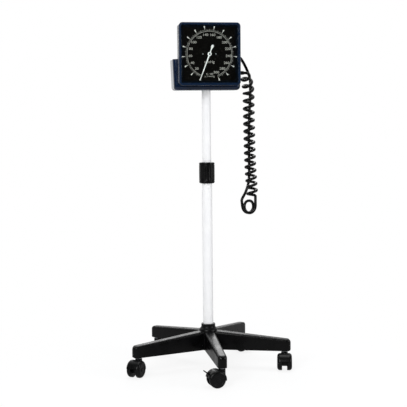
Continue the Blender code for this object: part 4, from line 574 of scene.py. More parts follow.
for index, (leg_name, heading) in enumerate((
    ("front", 190), ("right", -103), ("right_rear", -62), ("left_rear", 10), ("left", -122),
)):
    angle = radians(-90 + 72 * index)
    swivel = shift(mast_x + caster_circle * cos(angle),
                   mast_y + caster_circle * sin(angle), 0) @ spin(heading, "Z")
    caster = f"caster_{leg_name}"
    hood = joined(bodies[index == 0], placed(axle_end.copy(), axle_place @ stand_up))
    fit(f"caster_hood_{leg_name}", hood, swivel, black_nylon, caster, f"caster_body_{leg_name}",
        sharp=30)
    fit(f"stem_{leg_name}", turned(stem_profile, 40), swivel, zinc_steel, caster,
        f"caster_stem_{leg_name}")
    for side, turn, offset in (("a", 90, -0.0063), ("b", -90, 0.0063)):
        axis = shift(trail, offset, axle_height) @ spin(turn, "X")
        node = f"wheel_{leg_name}_{side}"
        fit(f"tread_{leg_name}_{side}", turned(wheel_profile, 96), swivel @ axis, wheel_nylon,
            node, node, sharp=40)
    if index == 0:
        arm = slab(arc(0.0015, 90, 270, 8) + [(0.0155, -0.0015), (0.0155, 0.0015)],
                   -0.0022, 0.0022, 0.0003)
        pin = rod(0.0011, 0.0058, -0.0058, 20)
        pad = slab(box_outline(0.0085, 0.015, 0.0028), -0.0012, 0.0012, 0.0007)
        ribs = [placed(slab(box_outline(0.0009, 0.0112, 0.0004, 4), 0.0009, 0.0016, 0.0003),
                       shift(0.0152 + k * 0.0021, 0, 0)) for k in range(3)]
        lever = joined(placed(arm, stand_up), placed(pin, stand_up),
                       placed(pad, shift(0.01725, 0, 0)), *ribs)
        fit("brake_pedal", lever, swivel @ shift(0.0268, 0, 0.02855) @ spin(-36, "Y"),
            black_nylon, "brake", "brake_lever")

# Mast: two steel tubes with gloss white enamel, the upper sliding in the lower, and the fluted
# nylon collar whose cone nut squeezes the collet on the sliding tube.


def plain_look(name, slot, tone, inks, rough, strength, depth, grain=None, **values):
    """A look whose colour and roughness follow one noise, and its relief that or another."""
    look, _, shader, place = new_look(name)
    patches = noise(place, *tone)
    relief = noise(place, *grain) if grain else patches
    wire(shader, base=tones(patches, *inks), rough=between(patches, *rough),
         normal=raised(relief, strength, depth), **values)
    return look


white_enamel = plain_look("gloss_white_enamel", "white_tube", (24.0,), ("#ececed", "#f1f1f1"),
                          (0.16, 0.26), 0.05, 0.0002, (420.0, 2.0), ior=1.5, gloss=0.3)
tube_wall = 0.0012
for name, node, body, radius, foot, top in (
    ("fixed_tube", "lower_tube", "base", 0.0125, 0.0555, 0.4955),
    ("sliding_tube", "upper_tube", "mast", 0.011, 0.265, 0.717),
):
    bore = radius - tube_wall
    tube = turned(eased(corners(bore, top, radius, foot), 0.0003, 3, True), 96, ring=True)
    fit(name, tube, mast_place, white_enamel, body, node)

collar_foot = 0.4635
collar_top = 0.5157
collar_radius = 0.0193
groove_radius = collar_radius - 0.0008
flute_count = 12
flute_depth = 0.0008
flute_steps = 192


def collar_mesh():
    """Collar with two grooves and shallow flutes between them, open inside for the sleeve."""
    low, high = collar_foot + 0.007, collar_top - 0.007
    outer = eased([(0.0113, collar_top), (0.0171, collar_top),
                   (collar_radius, collar_top - 0.0022), (collar_radius, high + 0.0016),
                   (groove_radius, high + 0.0008)], [0, 0.0012, 0.0012, 0.0003, 0])
    outer += [(collar_radius, low + (high - low) * k / 10) for k in range(11)][::-1]
    outer += eased([(groove_radius, low - 0.0008), (collar_radius, low - 0.0016),
                    (collar_radius, collar_foot + 0.0022), (0.0171, collar_foot),
                    (0.0163, collar_foot), (0.0163, 0.4988), (0.0151, 0.4994),
                    (0.0135, 0.5109), (0.0113, 0.5109)],
                   [0, 0.0003, 0.0012, 0.0006, 0.0004, 0, 0, 0, 0])
    rows = []
    for radius, height in outer:
        rim = min(height - low, high - height)
        deep = flute_depth * min(1.0, max(0.0, rim / 0.0025)) ** 0.5 if radius > 0.019 else 0
        reaches = [(a, radius - deep * max(0.0, cos(a * flute_count + pi)) ** 0.7)
                   for a in (2 * pi * k / flute_steps for k in range(flute_steps))]
        rows.append([(reach * cos(a), reach * sin(a), height) for a, reach in reaches])
    return skin(rows, loop=True)


fit("clamp_collar", collar_mesh(), mast_place, black_nylon, "collar", "locking_collar", sharp=40)

# Basket: an open tray moulded in navy ABS with a drawn-in foot, its wall 2.5 mm thick, held on
# the mast's head by a plated cup with four rivets through the floor.


def navy_moulding(name, dark, light, rough, gloss):
    """Navy ABS with a fine leather grain."""
    look, tree, shader, place = new_look(name)
    patches = noise(place, 28.0)
    leather = add(tree, "TexVoronoi", {"Vector": place, "Scale": 1500.0})
    soft = add(tree, "Bevel", {"Radius": 0.0006}, samples=4)
    wire(shader, base=tones(patches, dark, light), rough=between(patches, *rough), gloss=gloss,
         normal=raised(leather, 0.1, 0.00006, soft))
    return look


navy_plastic = navy_moulding("moulded_navy_abs", "#071a30", "#091d36", (0.24, 0.3), 0.25)
basket_plastic = navy_moulding("glossier_navy_abs", "#06152a", "#091c36", (0.11, 0.15), 0.45)
basket_foot = 0.6925
basket_rim = 0.768
basket_wall = 0.0025
basket_floor = basket_foot + basket_wall
basket_middle = mast_y + 0.0065
mast_hole = 0.0113
bend = 0.0085
inner_bend = bend - basket_wall
rim_round = 0.0011


def basket_loop(height, inward, draw):
    """Outline of the basket's wall at a height, moved in by the wall and the foot's rounding."""
    share = (height - basket_foot) / (basket_rim - basket_foot)
    return [(x, y, height) for x, y in box_outline(
        0.164 + 0.006 * share - 2 * (inward + draw), 0.062 - 2 * (inward + draw),
        max(0.0015, 0.01 - inward - draw * 0.3), 10, (mast_x, basket_middle))]


hole = [(mast_x + mast_hole * cos(a), mast_y + mast_hole * sin(a))
        for a in (atan2(y, x) for x, y in box_outline(0.12, 0.05, 0.01, 10))]
fit("instrument_basket", skin([
    [(x, y, basket_foot) for x, y in hole],
    *[basket_loop(basket_foot + bend * lift, 0, bend * draw) for lift, draw in quarter(8)],
    *[basket_loop(basket_rim - rim_round * drop, rim_round * inward, 0)
      for inward, drop in quarter(6)],
    *[basket_loop(basket_rim - rim_round * drop, basket_wall - rim_round * inward, 0)
      for drop, inward in quarter(6)],
    *[basket_loop(basket_floor + inner_bend * lift, basket_wall, inner_bend * draw)
      for draw, lift in quarter(8)],
    [(x, y, basket_floor) for x, y in hole]], loop=True),
    Matrix(), basket_plastic, "mast", "basket", sharp=40)


def dome(radius, rise, steps, foot=0.0):
    return [(radius * y, foot + rise * x) for x, y in arc(1, 0, 90, steps)]


def rivet(foot):
    """Domed rivet head that stands on z = 0, with its shank below."""
    return turned([*dome(0.0023, 0.0008, 6), (0.0023, -0.0003), (0.0013, -0.0003),
                   (0.0013, -foot), (0, -foot)], 28)


flange = slab(box_outline(0.05, 0.029, 0.005, 8), 0, 0.003, 0.0006)
cup = turned(eased([(mast_hole, 0.002), (0.0143, 0.002), (0.0143, 0.024), (0, 0.024), (0, 0.022),
                    (mast_hole, 0.022)], [0, 0, 0.0018, 0, 0, 0.0004], 5), 72)
rivets = [placed(rivet(0.0045), shift(x, y, 0.003)) for x in (-0.02, 0.02)
          for y in (-0.009, 0.009)]
fit("mast_cup", joined(flange, cup, *rivets), shift(mast_x, mast_y, basket_floor + 0.0003),
    zinc_steel, "mast", "mast_socket")

# Tilt hinge: two stamped plated leaves, the lower riveted to the basket's front wall with the
# pin, the upper to the gauge's back.

hinge_place = shift(mast_x, mast_y - 0.0276, 0.76)


def hinge_leaf(spans, side):
    """A leaf with its knuckles about the pin on X, its rivets' heads toward the gap."""
    near, far = sorted((side * 0.0014, side * 0.0028))
    low, high = sorted((side * -0.0033, side * -0.02))
    plates = [slab(box_outline(0.044, high - low, 0.003, 5, (0, (low + high) / 2)), near, far)]
    low, high = sorted((0, side * -0.0042))
    plates += [slab(corners(start, low, end, high), near, far, 0.0002) for start, end in spans]
    leaf = placed(joined(*plates), stand_up @ Matrix.Scale(-1, 4, (0, 0, 1)))
    leaf.flip_normals()
    knuckles = [placed(rod(0.0027, end, start, 40, 0.0003), spin(90, "Y"))
                for start, end in spans]
    heads = [placed(rivet(0.003), shift(x, side * 0.0014, side * -0.0125) @ spin(side * 90, "X"))
             for x in (-0.015, 0.015)]
    return joined(leaf, *knuckles, *heads)


fit("basket_leaf", hinge_leaf([(-0.0217, -0.0086), (0.0086, 0.0217)], 1), hinge_place,
    zinc_steel, "mast", "basket_hinge_leaf")
fit("gauge_leaf", hinge_leaf([(-0.008, 0.008)], -1), hinge_place, zinc_steel, "gauge",
    "gauge_hinge_leaf")

# Gauge head: a square case and bezel moulded in the same navy ABS, with a flat clear sheet
# dropped in the bezel. It is drawn lying with the dial up, and stood up by its matrix.

dial_height = 0.7778
head_place = shift(mast_x, mast_y - 0.0307, dial_height) @ stand_up
gauge_width = 0.15
bezel_foot = 0.0248
bezel_front = 0.033
groove = bezel_front - 0.004


def square_shell(levels, corner, loop=False):
    """Skin over rounded squares, each given by its level and how far it is drawn in."""
    return skin([[(x, y, level) for x, y in box_outline(
        gauge_width - 2 * inward, gauge_width - 2 * inward, max(0.001, corner - inward), 10)]
        for level, inward in levels], loop)


housing = square_shell([
    *[(0.004 * lift, 0.004 * inward) for lift, inward in quarter(8)],
    (0.0242, 0), (0.0245, 0.0003), (0.0245, 0.0022), (0.0242, 0.0025),
    *[(0.0025 + 0.0015 * lift, 0.0025 + 0.0015 * inward) for inward, lift in quarter(5)]],
    0.0105)
fit("gauge_housing", housing, head_place, navy_plastic, "gauge", "gauge_case", sharp=40)
bezel = square_shell([
    (bezel_foot, 0.0003), (bezel_foot + 0.0003, 0),
    *[(bezel_front - 0.0018 * drop, 0.0018 * inward) for inward, drop in quarter(7)],
    (bezel_front - 0.0002, 0.0046), (bezel_front - 0.0006, 0.0051), (groove, 0.0051),
    (groove, 0.0065), (groove - 0.0002, 0.0067), (bezel_foot, 0.0067)], 0.0095, loop=True)
fit("gauge_bezel", bezel, head_place, navy_plastic, "gauge", "front_bezel", sharp=40)

# Clear acrylic: light passes straight through, and the outer side of its surface mirrors more
# at a slant.

clear_sheet = bpy.data.materials.new("clear_acrylic_sheet")
tree = cleared(clear_sheet)
place = (add(tree, "TexCoord"), "Object")
wave = raised(noise(place, 30.0, 1.0), 0.01, 0.0005)
smear = between(noise(place, 55.0, 4.0), 0.02, 0.09)
outer = maths("LESS_THAN", (add(tree, "NewGeometry"), "Backfacing"), 0.5)
mirror = maths("MULTIPLY", add(tree, "Fresnel", {"IOR": 1.49, "Normal": wave}), outer)
through = add(tree, "BsdfTransparent", {"Color": "#f8faf9"})
shine = add(tree, "BsdfGlossy", {"Roughness": smear, "Normal": wave})
sheet = add(tree, "MixShader", {0: mirror, 1: through, 2: shine})
add(tree, "OutputMaterial", {"Surface": sheet})
fit("clear_window", slab(box_outline(0.1392, 0.1392, 0.0064, 8), 0.0293, 0.0313), head_place,
    clear_sheet, "gauge", "dial_lens")

# Dial: a black enamelled aluminium plate with a dark blue border, printed in white: a mark
# each 2 mmHg round a ring, longer ones each 10, wedges each 20 and numerals inside the ring.


def from_centre(place):
    """Places measured from the dial's centre, in its plane."""
    return add(tree_of(place), "Mapping", {
        "Vector": place, "Location": (-mast_x, 0, -dial_height), "Scale": (1, 0, 1)})


dial_enamel, tree, shader, place = new_look("black_dial_enamel")
speckle = noise(place, 900.0, 2.0)
apart = add(tree, "SeparateXYZ", {0: from_centre(place)})
reach = maths("MAXIMUM", *[maths("ABSOLUTE", (apart, axis)) for axis in ("X", "Z")])
border = maths("GREATER_THAN", reach, 0.0634)
wire(shader, base=inked(border, tones(speckle, "#060504", "#0a0908"), "#040a12"), gloss=0.03,
     rough=between(speckle, 0.5, 0.62), normal=raised(speckle, 0.05, 0.00005))
fit("dial_face", slab(box_outline(0.1436, 0.1436, 0.0063, 8), 0.0235, 0.0245, 0.0002),
    head_place, dial_enamel, "gauge", "dial_plate")

dial_print, tree, shader, place = new_look("white_dial_print")
ink = noise(place, 1400.0, 2.0)
reach = add(tree, "VectorMath", {0: from_centre(place)}, operation="LENGTH")
wedges = maths("GREATER_THAN", (reach, "Value"), 0.0605)
wire(shader, base=inked(wedges, tones(ink, "#a09d97", "#b8b5af"), "#f2f1ec"),
     rough=between(ink, 0.45, 0.6), normal=raised(ink, 0.05, 0.00003))


def marks_tree():
    """Geometry nodes that repeat a mark along a line, each copy turned on from the last."""
    tree = bpy.data.node_groups.new("repeated_marks", "GeometryNodeTree")
    tree.interface.new_socket("Geometry", in_out="OUTPUT", socket_type="NodeSocketGeometry")
    for name, kind in (("Mark", "Object"), ("Count", "Int"), ("Start", "Vector"),
                       ("Step", "Vector"), ("Angle", "Float"), ("Turn", "Float"),
                       ("Finish", "Material")):
        tree.interface.new_socket(name, in_out="INPUT", socket_type=f"NodeSocket{kind}")
    given = tree.nodes.new("NodeGroupInput")
    line = add(tree, "GeometryNodeMeshLine", {
        "Count": (given, "Count"), "Start Location": (given, "Start"),
        "Offset": (given, "Step")})
    swept = maths("MULTIPLY", add(tree, "GeometryNodeInputIndex"), (given, "Turn"))
    turn = add(tree, "CombineXYZ", {2: maths("SUBTRACT", (given, "Angle"), swept)})
    mark = add(tree, "GeometryNodeObjectInfo", {"Object": (given, "Mark")})
    copies = add(tree, "GeometryNodeInstanceOnPoints", {
        "Points": line, "Instance": (mark, "Geometry"), "Rotation": turn})
    real = add(tree, "GeometryNodeRealizeInstances", {0: copies})
    finished = add(tree, "GeometryNodeSetMaterial", {
        "Geometry": real, "Material": (given, "Finish")})
    feed(tree.nodes.new("NodeGroupOutput").inputs[0], finished)
    return tree


repeat_tree = marks_tree()


def repeated(mark, look, **numbers):
    """Run the node tree on a mark and return the copies as one plain mesh."""
    marker = linked("mark", mark)
    holder = linked("marks", bpy.data.meshes.new("marks"))
    modifier = holder.modifiers.new("marks", "NODES")
    modifier.node_group = repeat_tree
    still = (0, 0, 0)
    values = {"Mark": marker, "Finish": look, "Start": still, "Step": still, "Angle": 0.0,
              "Turn": 0.0, **numbers}
    for item in repeat_tree.interface.items_tree:
        if item.in_out == "INPUT":
            modifier[item.identifier] = values[item.name]
    holder.update_tag()
    return shaped(holder, holder, marker)


print_high = 0.00006
zero_degrees = 249.1
zero_angle = radians(zero_degrees)
sweep = radians(318.2)
full_scale = 300
ring_radii = (0.0537, 0.0544)
ring_steps = 180
dial_marks = []
for count, inner, outer, inner_width, outer_width in (
    (151, 0.0541, 0.0584, 0.00048, 0.00048), (31, 0.0541, 0.0594, 0.0008, 0.0008),
    (16, 0.0541, 0.0625, 0.001, 0.0012), (16, 0.0616, 0.0672, 0.0012, 0.0031),
):
    bar = slab([(inner, -inner_width / 2), (outer, -outer_width / 2), (outer, outer_width / 2),
                (inner, inner_width / 2)], 0.0, print_high, 0.00001, 1)
    dial_marks.append(repeated(bar, dial_print, Count=count, Angle=zero_angle,
                               Turn=sweep / (count - 1)))
inner, outer = ring_radii
dial_marks.append(skin([
    [(r * cos(a), r * sin(a), z) for r, z in corners(inner, 0, outer, print_high)]
    for a in (zero_angle - sweep * k / ring_steps for k in range(ring_steps + 1))]))


def words(text, size, centre, stretch, heavy):
    """Flat lettering as a thin mesh centred on a point of the dial."""
    curve = bpy.data.curves.new("words", "FONT")
    curve.body = text
    curve.size = size
    curve.extrude = print_high / 2
    curve.offset = heavy
    holder = linked("words", curve)
    made = shaped(holder, holder)
    xs = [v.co.x for v in made.vertices]
    ys = [v.co.y for v in made.vertices]
    middle = shift((min(xs) + max(xs)) / 2, (min(ys) + max(ys)) / 2, -print_high / 2)
    return placed(made, shift(*centre, 0) @ Matrix.Scale(stretch, 4, (1, 0, 0))
                  @ middle.inverted())


for value in range(20, full_scale + 1, 20):
    a = zero_angle - sweep * value / full_scale
    dial_marks.append(words(str(value), 0.008, (0.0466 * cos(a), 0.0466 * sin(a)),
                            1.16, 0.0001))
for text, size, level, heavy in (("mmHg", 0.0085, -0.0195, 0.00008),
                                 ("0 - 300", 0.0052, -0.0475, 0.00004),
                                 ("± 3 mmHg", 0.0052, -0.0535, 0.00004)):
    dial_marks.append(words(text, size, (0, level), 1.1, heavy))
fit("dial_print", joined(*dial_marks), head_place @ shift(0, 0, 0.02452), dial_print, "gauge")

for side, x, turn in (("left", -0.016, -0.64), ("right", 0.016, 0.64)):
    screw = turned([*dome(0.0017, 0.0004, 5, 0.0003), (0.0017, 0), (0.0008, 0),
                    (0.0008, -0.004), (0, -0.004)], 32)
    cross = slab(corners(-0.002, -0.0002, 0.002, 0.0002), 0.0003, 0.001, 0.00001, 1)
    screw = carved(screw, placed(cross, Matrix.Rotation(turn, 4, "Z")))
    fit(f"dial_fixing_{side}", screw, head_place @ shift(x, 0, 0.0248), zinc_steel, "gauge",
        f"dial_screw_{side}")

# Pointer: white enamelled aluminium, a tapered needle with a ring round its hub and a spade
# tail, pressed on the pinion's shaft.

pointer_enamel = plain_look("white_pointer_enamel", "pointer_white", (500.0,),
                            ("#fafaf8", "#ffffff"), (0.3, 0.42), 0.05, 0.00005)
upper = [(0.067, 0.0007), *arc(0.00475, 21.0, 165.0, 20), (-0.012, 0.0013),
         (-0.015, 0.0018), (-0.0172, 0.0026), (-0.019, 0.003), (-0.0208, 0.0029),
         (-0.0224, 0.0022), (-0.0235, 0.0011)]
needle = slab([*upper, *[(x, -y) for x, y in reversed(upper)]], 0, 0.0008, 0.0001, 2)
bush = turned(eased([(0, 0.0013), (0.0022, 0.0013), (0.0026, 0.0007), (0.0026, 0.0002),
                     (0, 0.0002)], 0.0003), 40)
pointer_place = head_place @ shift(0, 0, 0.0262) @ spin(zero_degrees, "Z")
fit("needle", needle, pointer_place, pointer_enamel, "indicator", "pointer")
fit("needle_bush", bush, pointer_place, zinc_steel, "indicator")

# Pressure port: a turned, plated fitting through the case's right side. The hose's end is
# stretched over its nipple and thickens there.

port_place = head_place @ shift(0, -0.0445, 0.0118) @ spin(90, "Y")
port = turned(eased([
    (0, 0.085), (0.0035, 0.085), (0.0041, 0.082), (0.0036, 0.0816), (0.0041, 0.0787),
    (0.0041, 0.0775), (0.0055, 0.0775), (0.0055, 0.0753), (0.0026, 0.0753), (0.0026, 0.0685),
    (0, 0.0685)], [0, 0.0004, 0.0002, 0.0002, 0.0002, 0.0003, 0.0005, 0.0003, 0.0003, 0.0003,
                   0]), 48)
fit("port_fitting", port, port_place, zinc_steel, "gauge", "pressure_port")

# Air hose: one black rubber tube of 7 mm, curled like a handset cord from the port down to a
# pair of wound loops, then straight up behind the curls and over the rim to its connector.

hose_rubber = plain_look("extruded_black_rubber", "hose_black", (90.0,), ("#020202", "#070707"),
                         (0.22, 0.34), 0.1, 0.0002, (800.0, 1.0), ior=1.52, gloss=0.2)
hose_diameter = 0.007
curl_radius = 0.0116
points_per_curl = 36
points_per_loop = 48


def run_of(points):
    """The way covered at each point of a line."""
    run = [0.0]
    for a, b in zip(points, points[1:]):
        run.append(run[-1] + (b - a).length)
    return run


def along_line(points, run, wanted):
    """The place at a distance along a line, and the number of the stretch that it is on."""
    index = max(0, min(bisect.bisect_left(run, wanted), len(points) - 1) - 1)
    share = (wanted - run[index]) / (run[index + 1] - run[index])
    return points[index].lerp(points[index + 1], share), index


def smooth_way(places, spacing):
    """Even points on a smooth curve through the places, its first and last stretch straight."""
    knots = [Vector(p) for p in places]
    knot_steps = 24
    fine = []
    for i in range(1, len(knots) - 2):
        a, b, c, d = knots[i - 1 : i + 3]
        fine += [(2 * b + (c - a) * t + (2 * a - 5 * b + 4 * c - d) * t**2
                  + (3 * b - a - 3 * c + d) * t**3) / 2
                 for t in (k / knot_steps for k in range(knot_steps))]
    fine.append(knots[-2])
    run = run_of(fine)
    count = ceil(run[-1] / spacing)
    way = [along_line(fine, run, run[-1] * k / count)[0] for k in range(count + 1)]
    return [knots[0], *way, knots[-1]]


def curls(places, start_pitch, end_pitch):
    """A helix round the smooth line through the places; it opens from the first one."""
    axis = smooth_way(places, hose_diameter / 4)
    run = run_of(axis)
    normal = (axis[1] - axis[0]).cross(Vector((0, 1, 0))).normalized()
    frames = []
    for index in range(len(axis)):
        ahead = axis[min(index + 1, len(axis) - 1)] - axis[max(index - 1, 0)]
        tangent = ahead.normalized()
        normal = (normal - tangent * normal.dot(tangent)).normalized()
        frames.append((normal, tangent.cross(normal)))
    mean_pitch = (start_pitch + end_pitch) / 2
    straight = hose_diameter * 1.5
    curled = run[-1] - straight
    steps = round(curled / mean_pitch) * points_per_curl
    way = [axis[0], axis[0] + Vector((hose_diameter, 0, 0))]
    for step in range(steps + 1):
        share = step / steps
        eased_run = start_pitch * share + (end_pitch - start_pitch) * share**2 / 2
        travelled = straight + curled * eased_run / mean_pitch
        middle, index = along_line(axis, run, travelled)
        normal, side = frames[index]
        a = 2 * pi * step / points_per_curl
        reach = curl_radius * min(1.0, travelled / start_pitch)
        way.append(middle + normal * (reach * cos(a)) + side * (reach * sin(a)))
    return way


def loops(start):
    """Two layers of oval loops: a spiral inward, one layer back, and out again."""
    outer, inner, layer, stretch, turns = 0.016, 0.0101, 0.0079, 1.26, 0.75
    centre = start - Vector((outer, 0, outer * stretch * 0.95))
    way = []
    for step in range(round(2 * turns * points_per_loop) + 1):
        travelled = step / points_per_loop
        inward = min(travelled, 2 * turns - travelled) / turns
        reach = outer + (inner - outer) * inward
        climb = min(1.0, max(0.0, (travelled - turns) / 0.5 + 0.5))
        a = -2 * pi * travelled
        way.append(centre + Vector((reach * cos(a), climb * layer,
                                    reach * sin(a) * stretch)))
    return way


def tube_along(way, diameter, sides=16):
    """Closed round tube along points, its rings carried forward without twist."""
    points = [way[0]]
    for spot in way[1:]:
        if (spot - points[-1]).length > diameter / 40:
            points.append(spot)
    across = (points[1] - points[0]).orthogonal().normalized()
    ring = arc(diameter / 2, 0, 360, sides)[:-1]
    rows = []
    for index, spot in enumerate(points):
        along = points[min(index + 1, len(points) - 1)] - points[max(index - 1, 0)]
        along.normalize()
        across = (across - along * across.dot(along)).normalized()
        beside = along.cross(across)
        rows.append([spot + across * x + beside * y for x, y in ring])
    return skin(rows)


def from_mast(*places):
    return [Vector((x + mast_x, y + mast_y, z)) for x, y, z in places]


port_mouth, hose_end = from_mast((0.0853, -0.0425, 0.7333), (0.0663, 0.022, 0.77085))
hose_way = curls([port_mouth, port_mouth + Vector((0.007, 0.004, -0.003)), *from_mast(
    (0.0975, -0.026, 0.713), (0.1035, -0.014, 0.689), (0.105, -0.009, 0.65),
    (0.1065, -0.009, 0.56), (0.1085, -0.009, 0.5), (0.112, -0.009, 0.448),
    (0.113, -0.009, 0.43))], 0.0205, 0.0165)
hose_way += loops(hose_way[-1] - Vector((0, 0, hose_diameter)))
leaving = (hose_way[-1] - hose_way[-2]).normalized()
strand = [hose_way[-1], hose_way[-1] + leaving * hose_diameter * 2, *from_mast(
    (0.102, 0.0129, 0.442), (0.109, 0.0129, 0.47), (0.11, 0.0129, 0.52),
    (0.1095, 0.0129, 0.58), (0.1115, 0.0129, 0.64), (0.1135, 0.0129, 0.68),
    (0.114, 0.014, 0.715), (0.1105, 0.0155, 0.732), (0.101, 0.019, 0.756),
    (0.088, 0.022, 0.775)), hose_end + Vector((hose_diameter, 0, 0)), hose_end]
hose_way += smooth_way(strand, hose_diameter / 3)[1:]
hose = fit("air_hose", tube_along(hose_way, hose_diameter), Matrix(), hose_rubber, None,
           "hose_coil", "hose_return")
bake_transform(hose)
hose_mouth = turned(eased([
    (0.0034, 0.0852), (0.0039, 0.087), (0.0044, 0.0852), (0.0048, 0.082), (0.0047, 0.0783),
    (0.0043, 0.0779), (0.0036, 0.0779)], 0.0003, 3, True), 40, ring=True)
sleeve = fit("hose_port_end", hose_mouth, port_place, hose_rubber, "gauge")

# Connector: a moulded black luer lock with a ribbed grip, lying on the cuff.

grip = [(0, 0), (0.003, 0), (0.0039, 0.0036), (0.004, 0.0042), (0.004, 0.0058)]
for k in range(4):
    x = 0.007 + k * 0.0016
    grip += [(0.0047, x - 0.0004), (0.00525, x), (0.00525, x + 0.0006), (0.0047, x + 0.001)]
grip += [(0.004, 0.0142), (0.004, 0.0158), (0.004, 0.0164), (0.0035, 0.02), (0, 0.02)]
connector = fit("luer_connector", turned(eased(grip, 0.0003, 2), 48),
                mast_place @ shift(0.046, 0.022, 0.77085) @ spin(90, "Y"), black_nylon, "mast",
                "hose_connector")

# Inflation bulb: moulded black rubber, standing in the basket with a plated inlet valve below
# and the release valve with its knurled screw above.

bulb_place = mast_place @ shift(-0.052, 0.0065, 0.695)
inlet = rod(0.006, 0.0048, 0.0003, 48, 0.0008)
fit("inlet_valve", inlet, bulb_place, zinc_steel, "mast", "bulb_inlet_valve")
bulb_rubber = plain_look("moulded_black_rubber", "bulb_black", (60.0, 5.0),
                         ("#0c0c0c", "#1b1b1c"), (0.46, 0.62), 0.18, 0.0001, (3000.0, 2.0),
                         ior=1.52)
bulb = turned([
    (0, 0.0631), (0.0058, 0.0631), (0.0072, 0.0627),
    *[(0.0075 + 0.0135 * sin(a) ** 0.8, 0.0051 + 0.058 * (1 + cos(a)) / 2)
      for a in (pi * k / 40 for k in range(1, 40))],
    (0.0072, 0.0055), (0.0058, 0.0051), (0, 0.0051)], 72)
for vertex in bulb.vertices:
    seam = max(0.0, 1 - abs(vertex.co.y) / 0.0012) * (1 if abs(vertex.co.x) > 0.009 else 0)
    vertex.co.x += copysign(0.00025 * seam, vertex.co.x)
fit("rubber_bulb", bulb, bulb_place, bulb_rubber, "mast", "inflation_bulb")
valve = turned(eased([
    (0, 0.0734), (0.0027, 0.0734), (0.0027, 0.0794), (0.005, 0.0794), (0.00625, 0.0782),
    (0.00625, 0.074), (0.0056, 0.0735), (0.0056, 0.0728), (0.00625, 0.0723),
    (0.00625, 0.0659), (0.005, 0.0634), (0, 0.0634)], 0.0003, 3), 56)
barb = turned(eased([
    (0, 0.0105), (0.0022, 0.0105), (0.0028, 0.0088), (0.0023, 0.0086), (0.0028, 0.0068),
    (0.0023, 0.0066), (0.0023, 0.003), (0, 0.003)], 0.0002, 2), 36)
fit("release_valve_body", joined(valve, placed(barb, shift(0, 0, 0.0698) @ spin(90, "Y"))),
    bulb_place, zinc_steel, "mast", "release_valve")
ridge_count = 24
screw_core = turned(eased([
    (0, 0.0862), (0.0046, 0.0862), (0.0053, 0.0853), (0.0053, 0.0807), (0.0046, 0.0797),
    (0.0025, 0.0797), (0.0025, 0.0737), (0, 0.0737)], 0.0004, 3), 64)
ridge = slab(box_outline(0.0006, 0.0008, 0.00025, 3, (0.0053, 0)), 0.0808, 0.0851, 0.0002, 2)
ridges = repeated(ridge, zinc_steel, Count=ridge_count, Turn=2 * pi / ridge_count)
fit("release_knob", joined(screw_core, ridges), bulb_place, zinc_steel, "release_knob",
    "release_screw")

# Cuff: a long navy nylon band with a bladder inside, folded to and fro into six layers. Its
# edges are sewn flat, and a patch of hook tape is stitched on the upper layer.

cuff_place = mast_place @ shift(0.0256, -0.0158, 0.6953)
cuff_length, cuff_width, cuff_height = 0.0475, 0.0445, 0.07
layer_count = 6
layer = cuff_height / layer_count
layer_steps = 14
fold_steps = 10
cuff_thick = 0.0106
hem = 0.0006
taper_run = 0.006
unevenness = 0.03
shares_across = (0, 0.3, 0.55, 0.7, 0.8, 0.86, 0.9, 0.93, 0.97, 1)


def cuff_line():
    """Places and directions along the middle of the folded band, in the plane of x and z."""
    bend = layer / 2
    near, far = bend + cuff_thick / 2, cuff_length - bend - cuff_thick / 2
    line = []
    for k in range(layer_count):
        level = layer * (k + 0.5)
        going = 1 if k % 2 == 0 else -1
        start, end = (near, far) if going > 0 else (far, near)
        start = 0.001 if k == 0 else start
        end = 0.001 if k == layer_count - 1 else end
        line += [(start + (end - start) * s / layer_steps, level, 0.0 if going > 0 else pi)
                 for s in range(layer_steps + 1)]
        if k < layer_count - 1:
            line += [(end + going * bend * sin(a), level + bend * (1 - cos(a)),
                      a if going > 0 else pi - a)
                     for a in (pi * s / fold_steps for s in range(1, fold_steps))]
    return line


section = [(share, max(0.0, 1 - (abs(share) / 0.9) ** 5) ** 0.5)
           for share in (*[-v for v in shares_across[:0:-1]], *shares_across)]
line = cuff_line()
rows, cloth_places = [], []
travelled = 0.0
random.seed(7)
wobble = [random.uniform(-1, 1) for _ in range(len(line) + 4)]
for index, (x, z, turn) in enumerate(line):
    if index:
        travelled += hypot(x - line[index - 1][0], z - line[index - 1][1])
    last_layer = index >= len(line) - layer_steps - 1
    ends = min(travelled, abs(line[-1][0] - x) if last_layer else travelled)
    taper = max(0.0, 1 - max(0.0, 1 - ends / taper_run) ** 2) ** 0.5
    puff = 1 + unevenness * sum(wobble[index : index + 4]) / 2
    row = []
    for sign in (1, -1):
        for share, swell in section[::sign]:
            thick = sign * (hem + (cuff_thick / 2 - hem) * swell * taper * puff)
            row.append((x - sin(turn) * thick, cuff_width / 2 * (1 + share),
                        z + cos(turn) * thick))
            cloth_places.append((travelled, cuff_width / 2 * share, sign))
    rows.append(row)
band = skin(rows, clean=False)
cloth = band.attributes.new("cloth_place", "FLOAT_VECTOR", "POINT")
for index, spot in enumerate(cloth_places):
    cloth.data[index].vector = spot

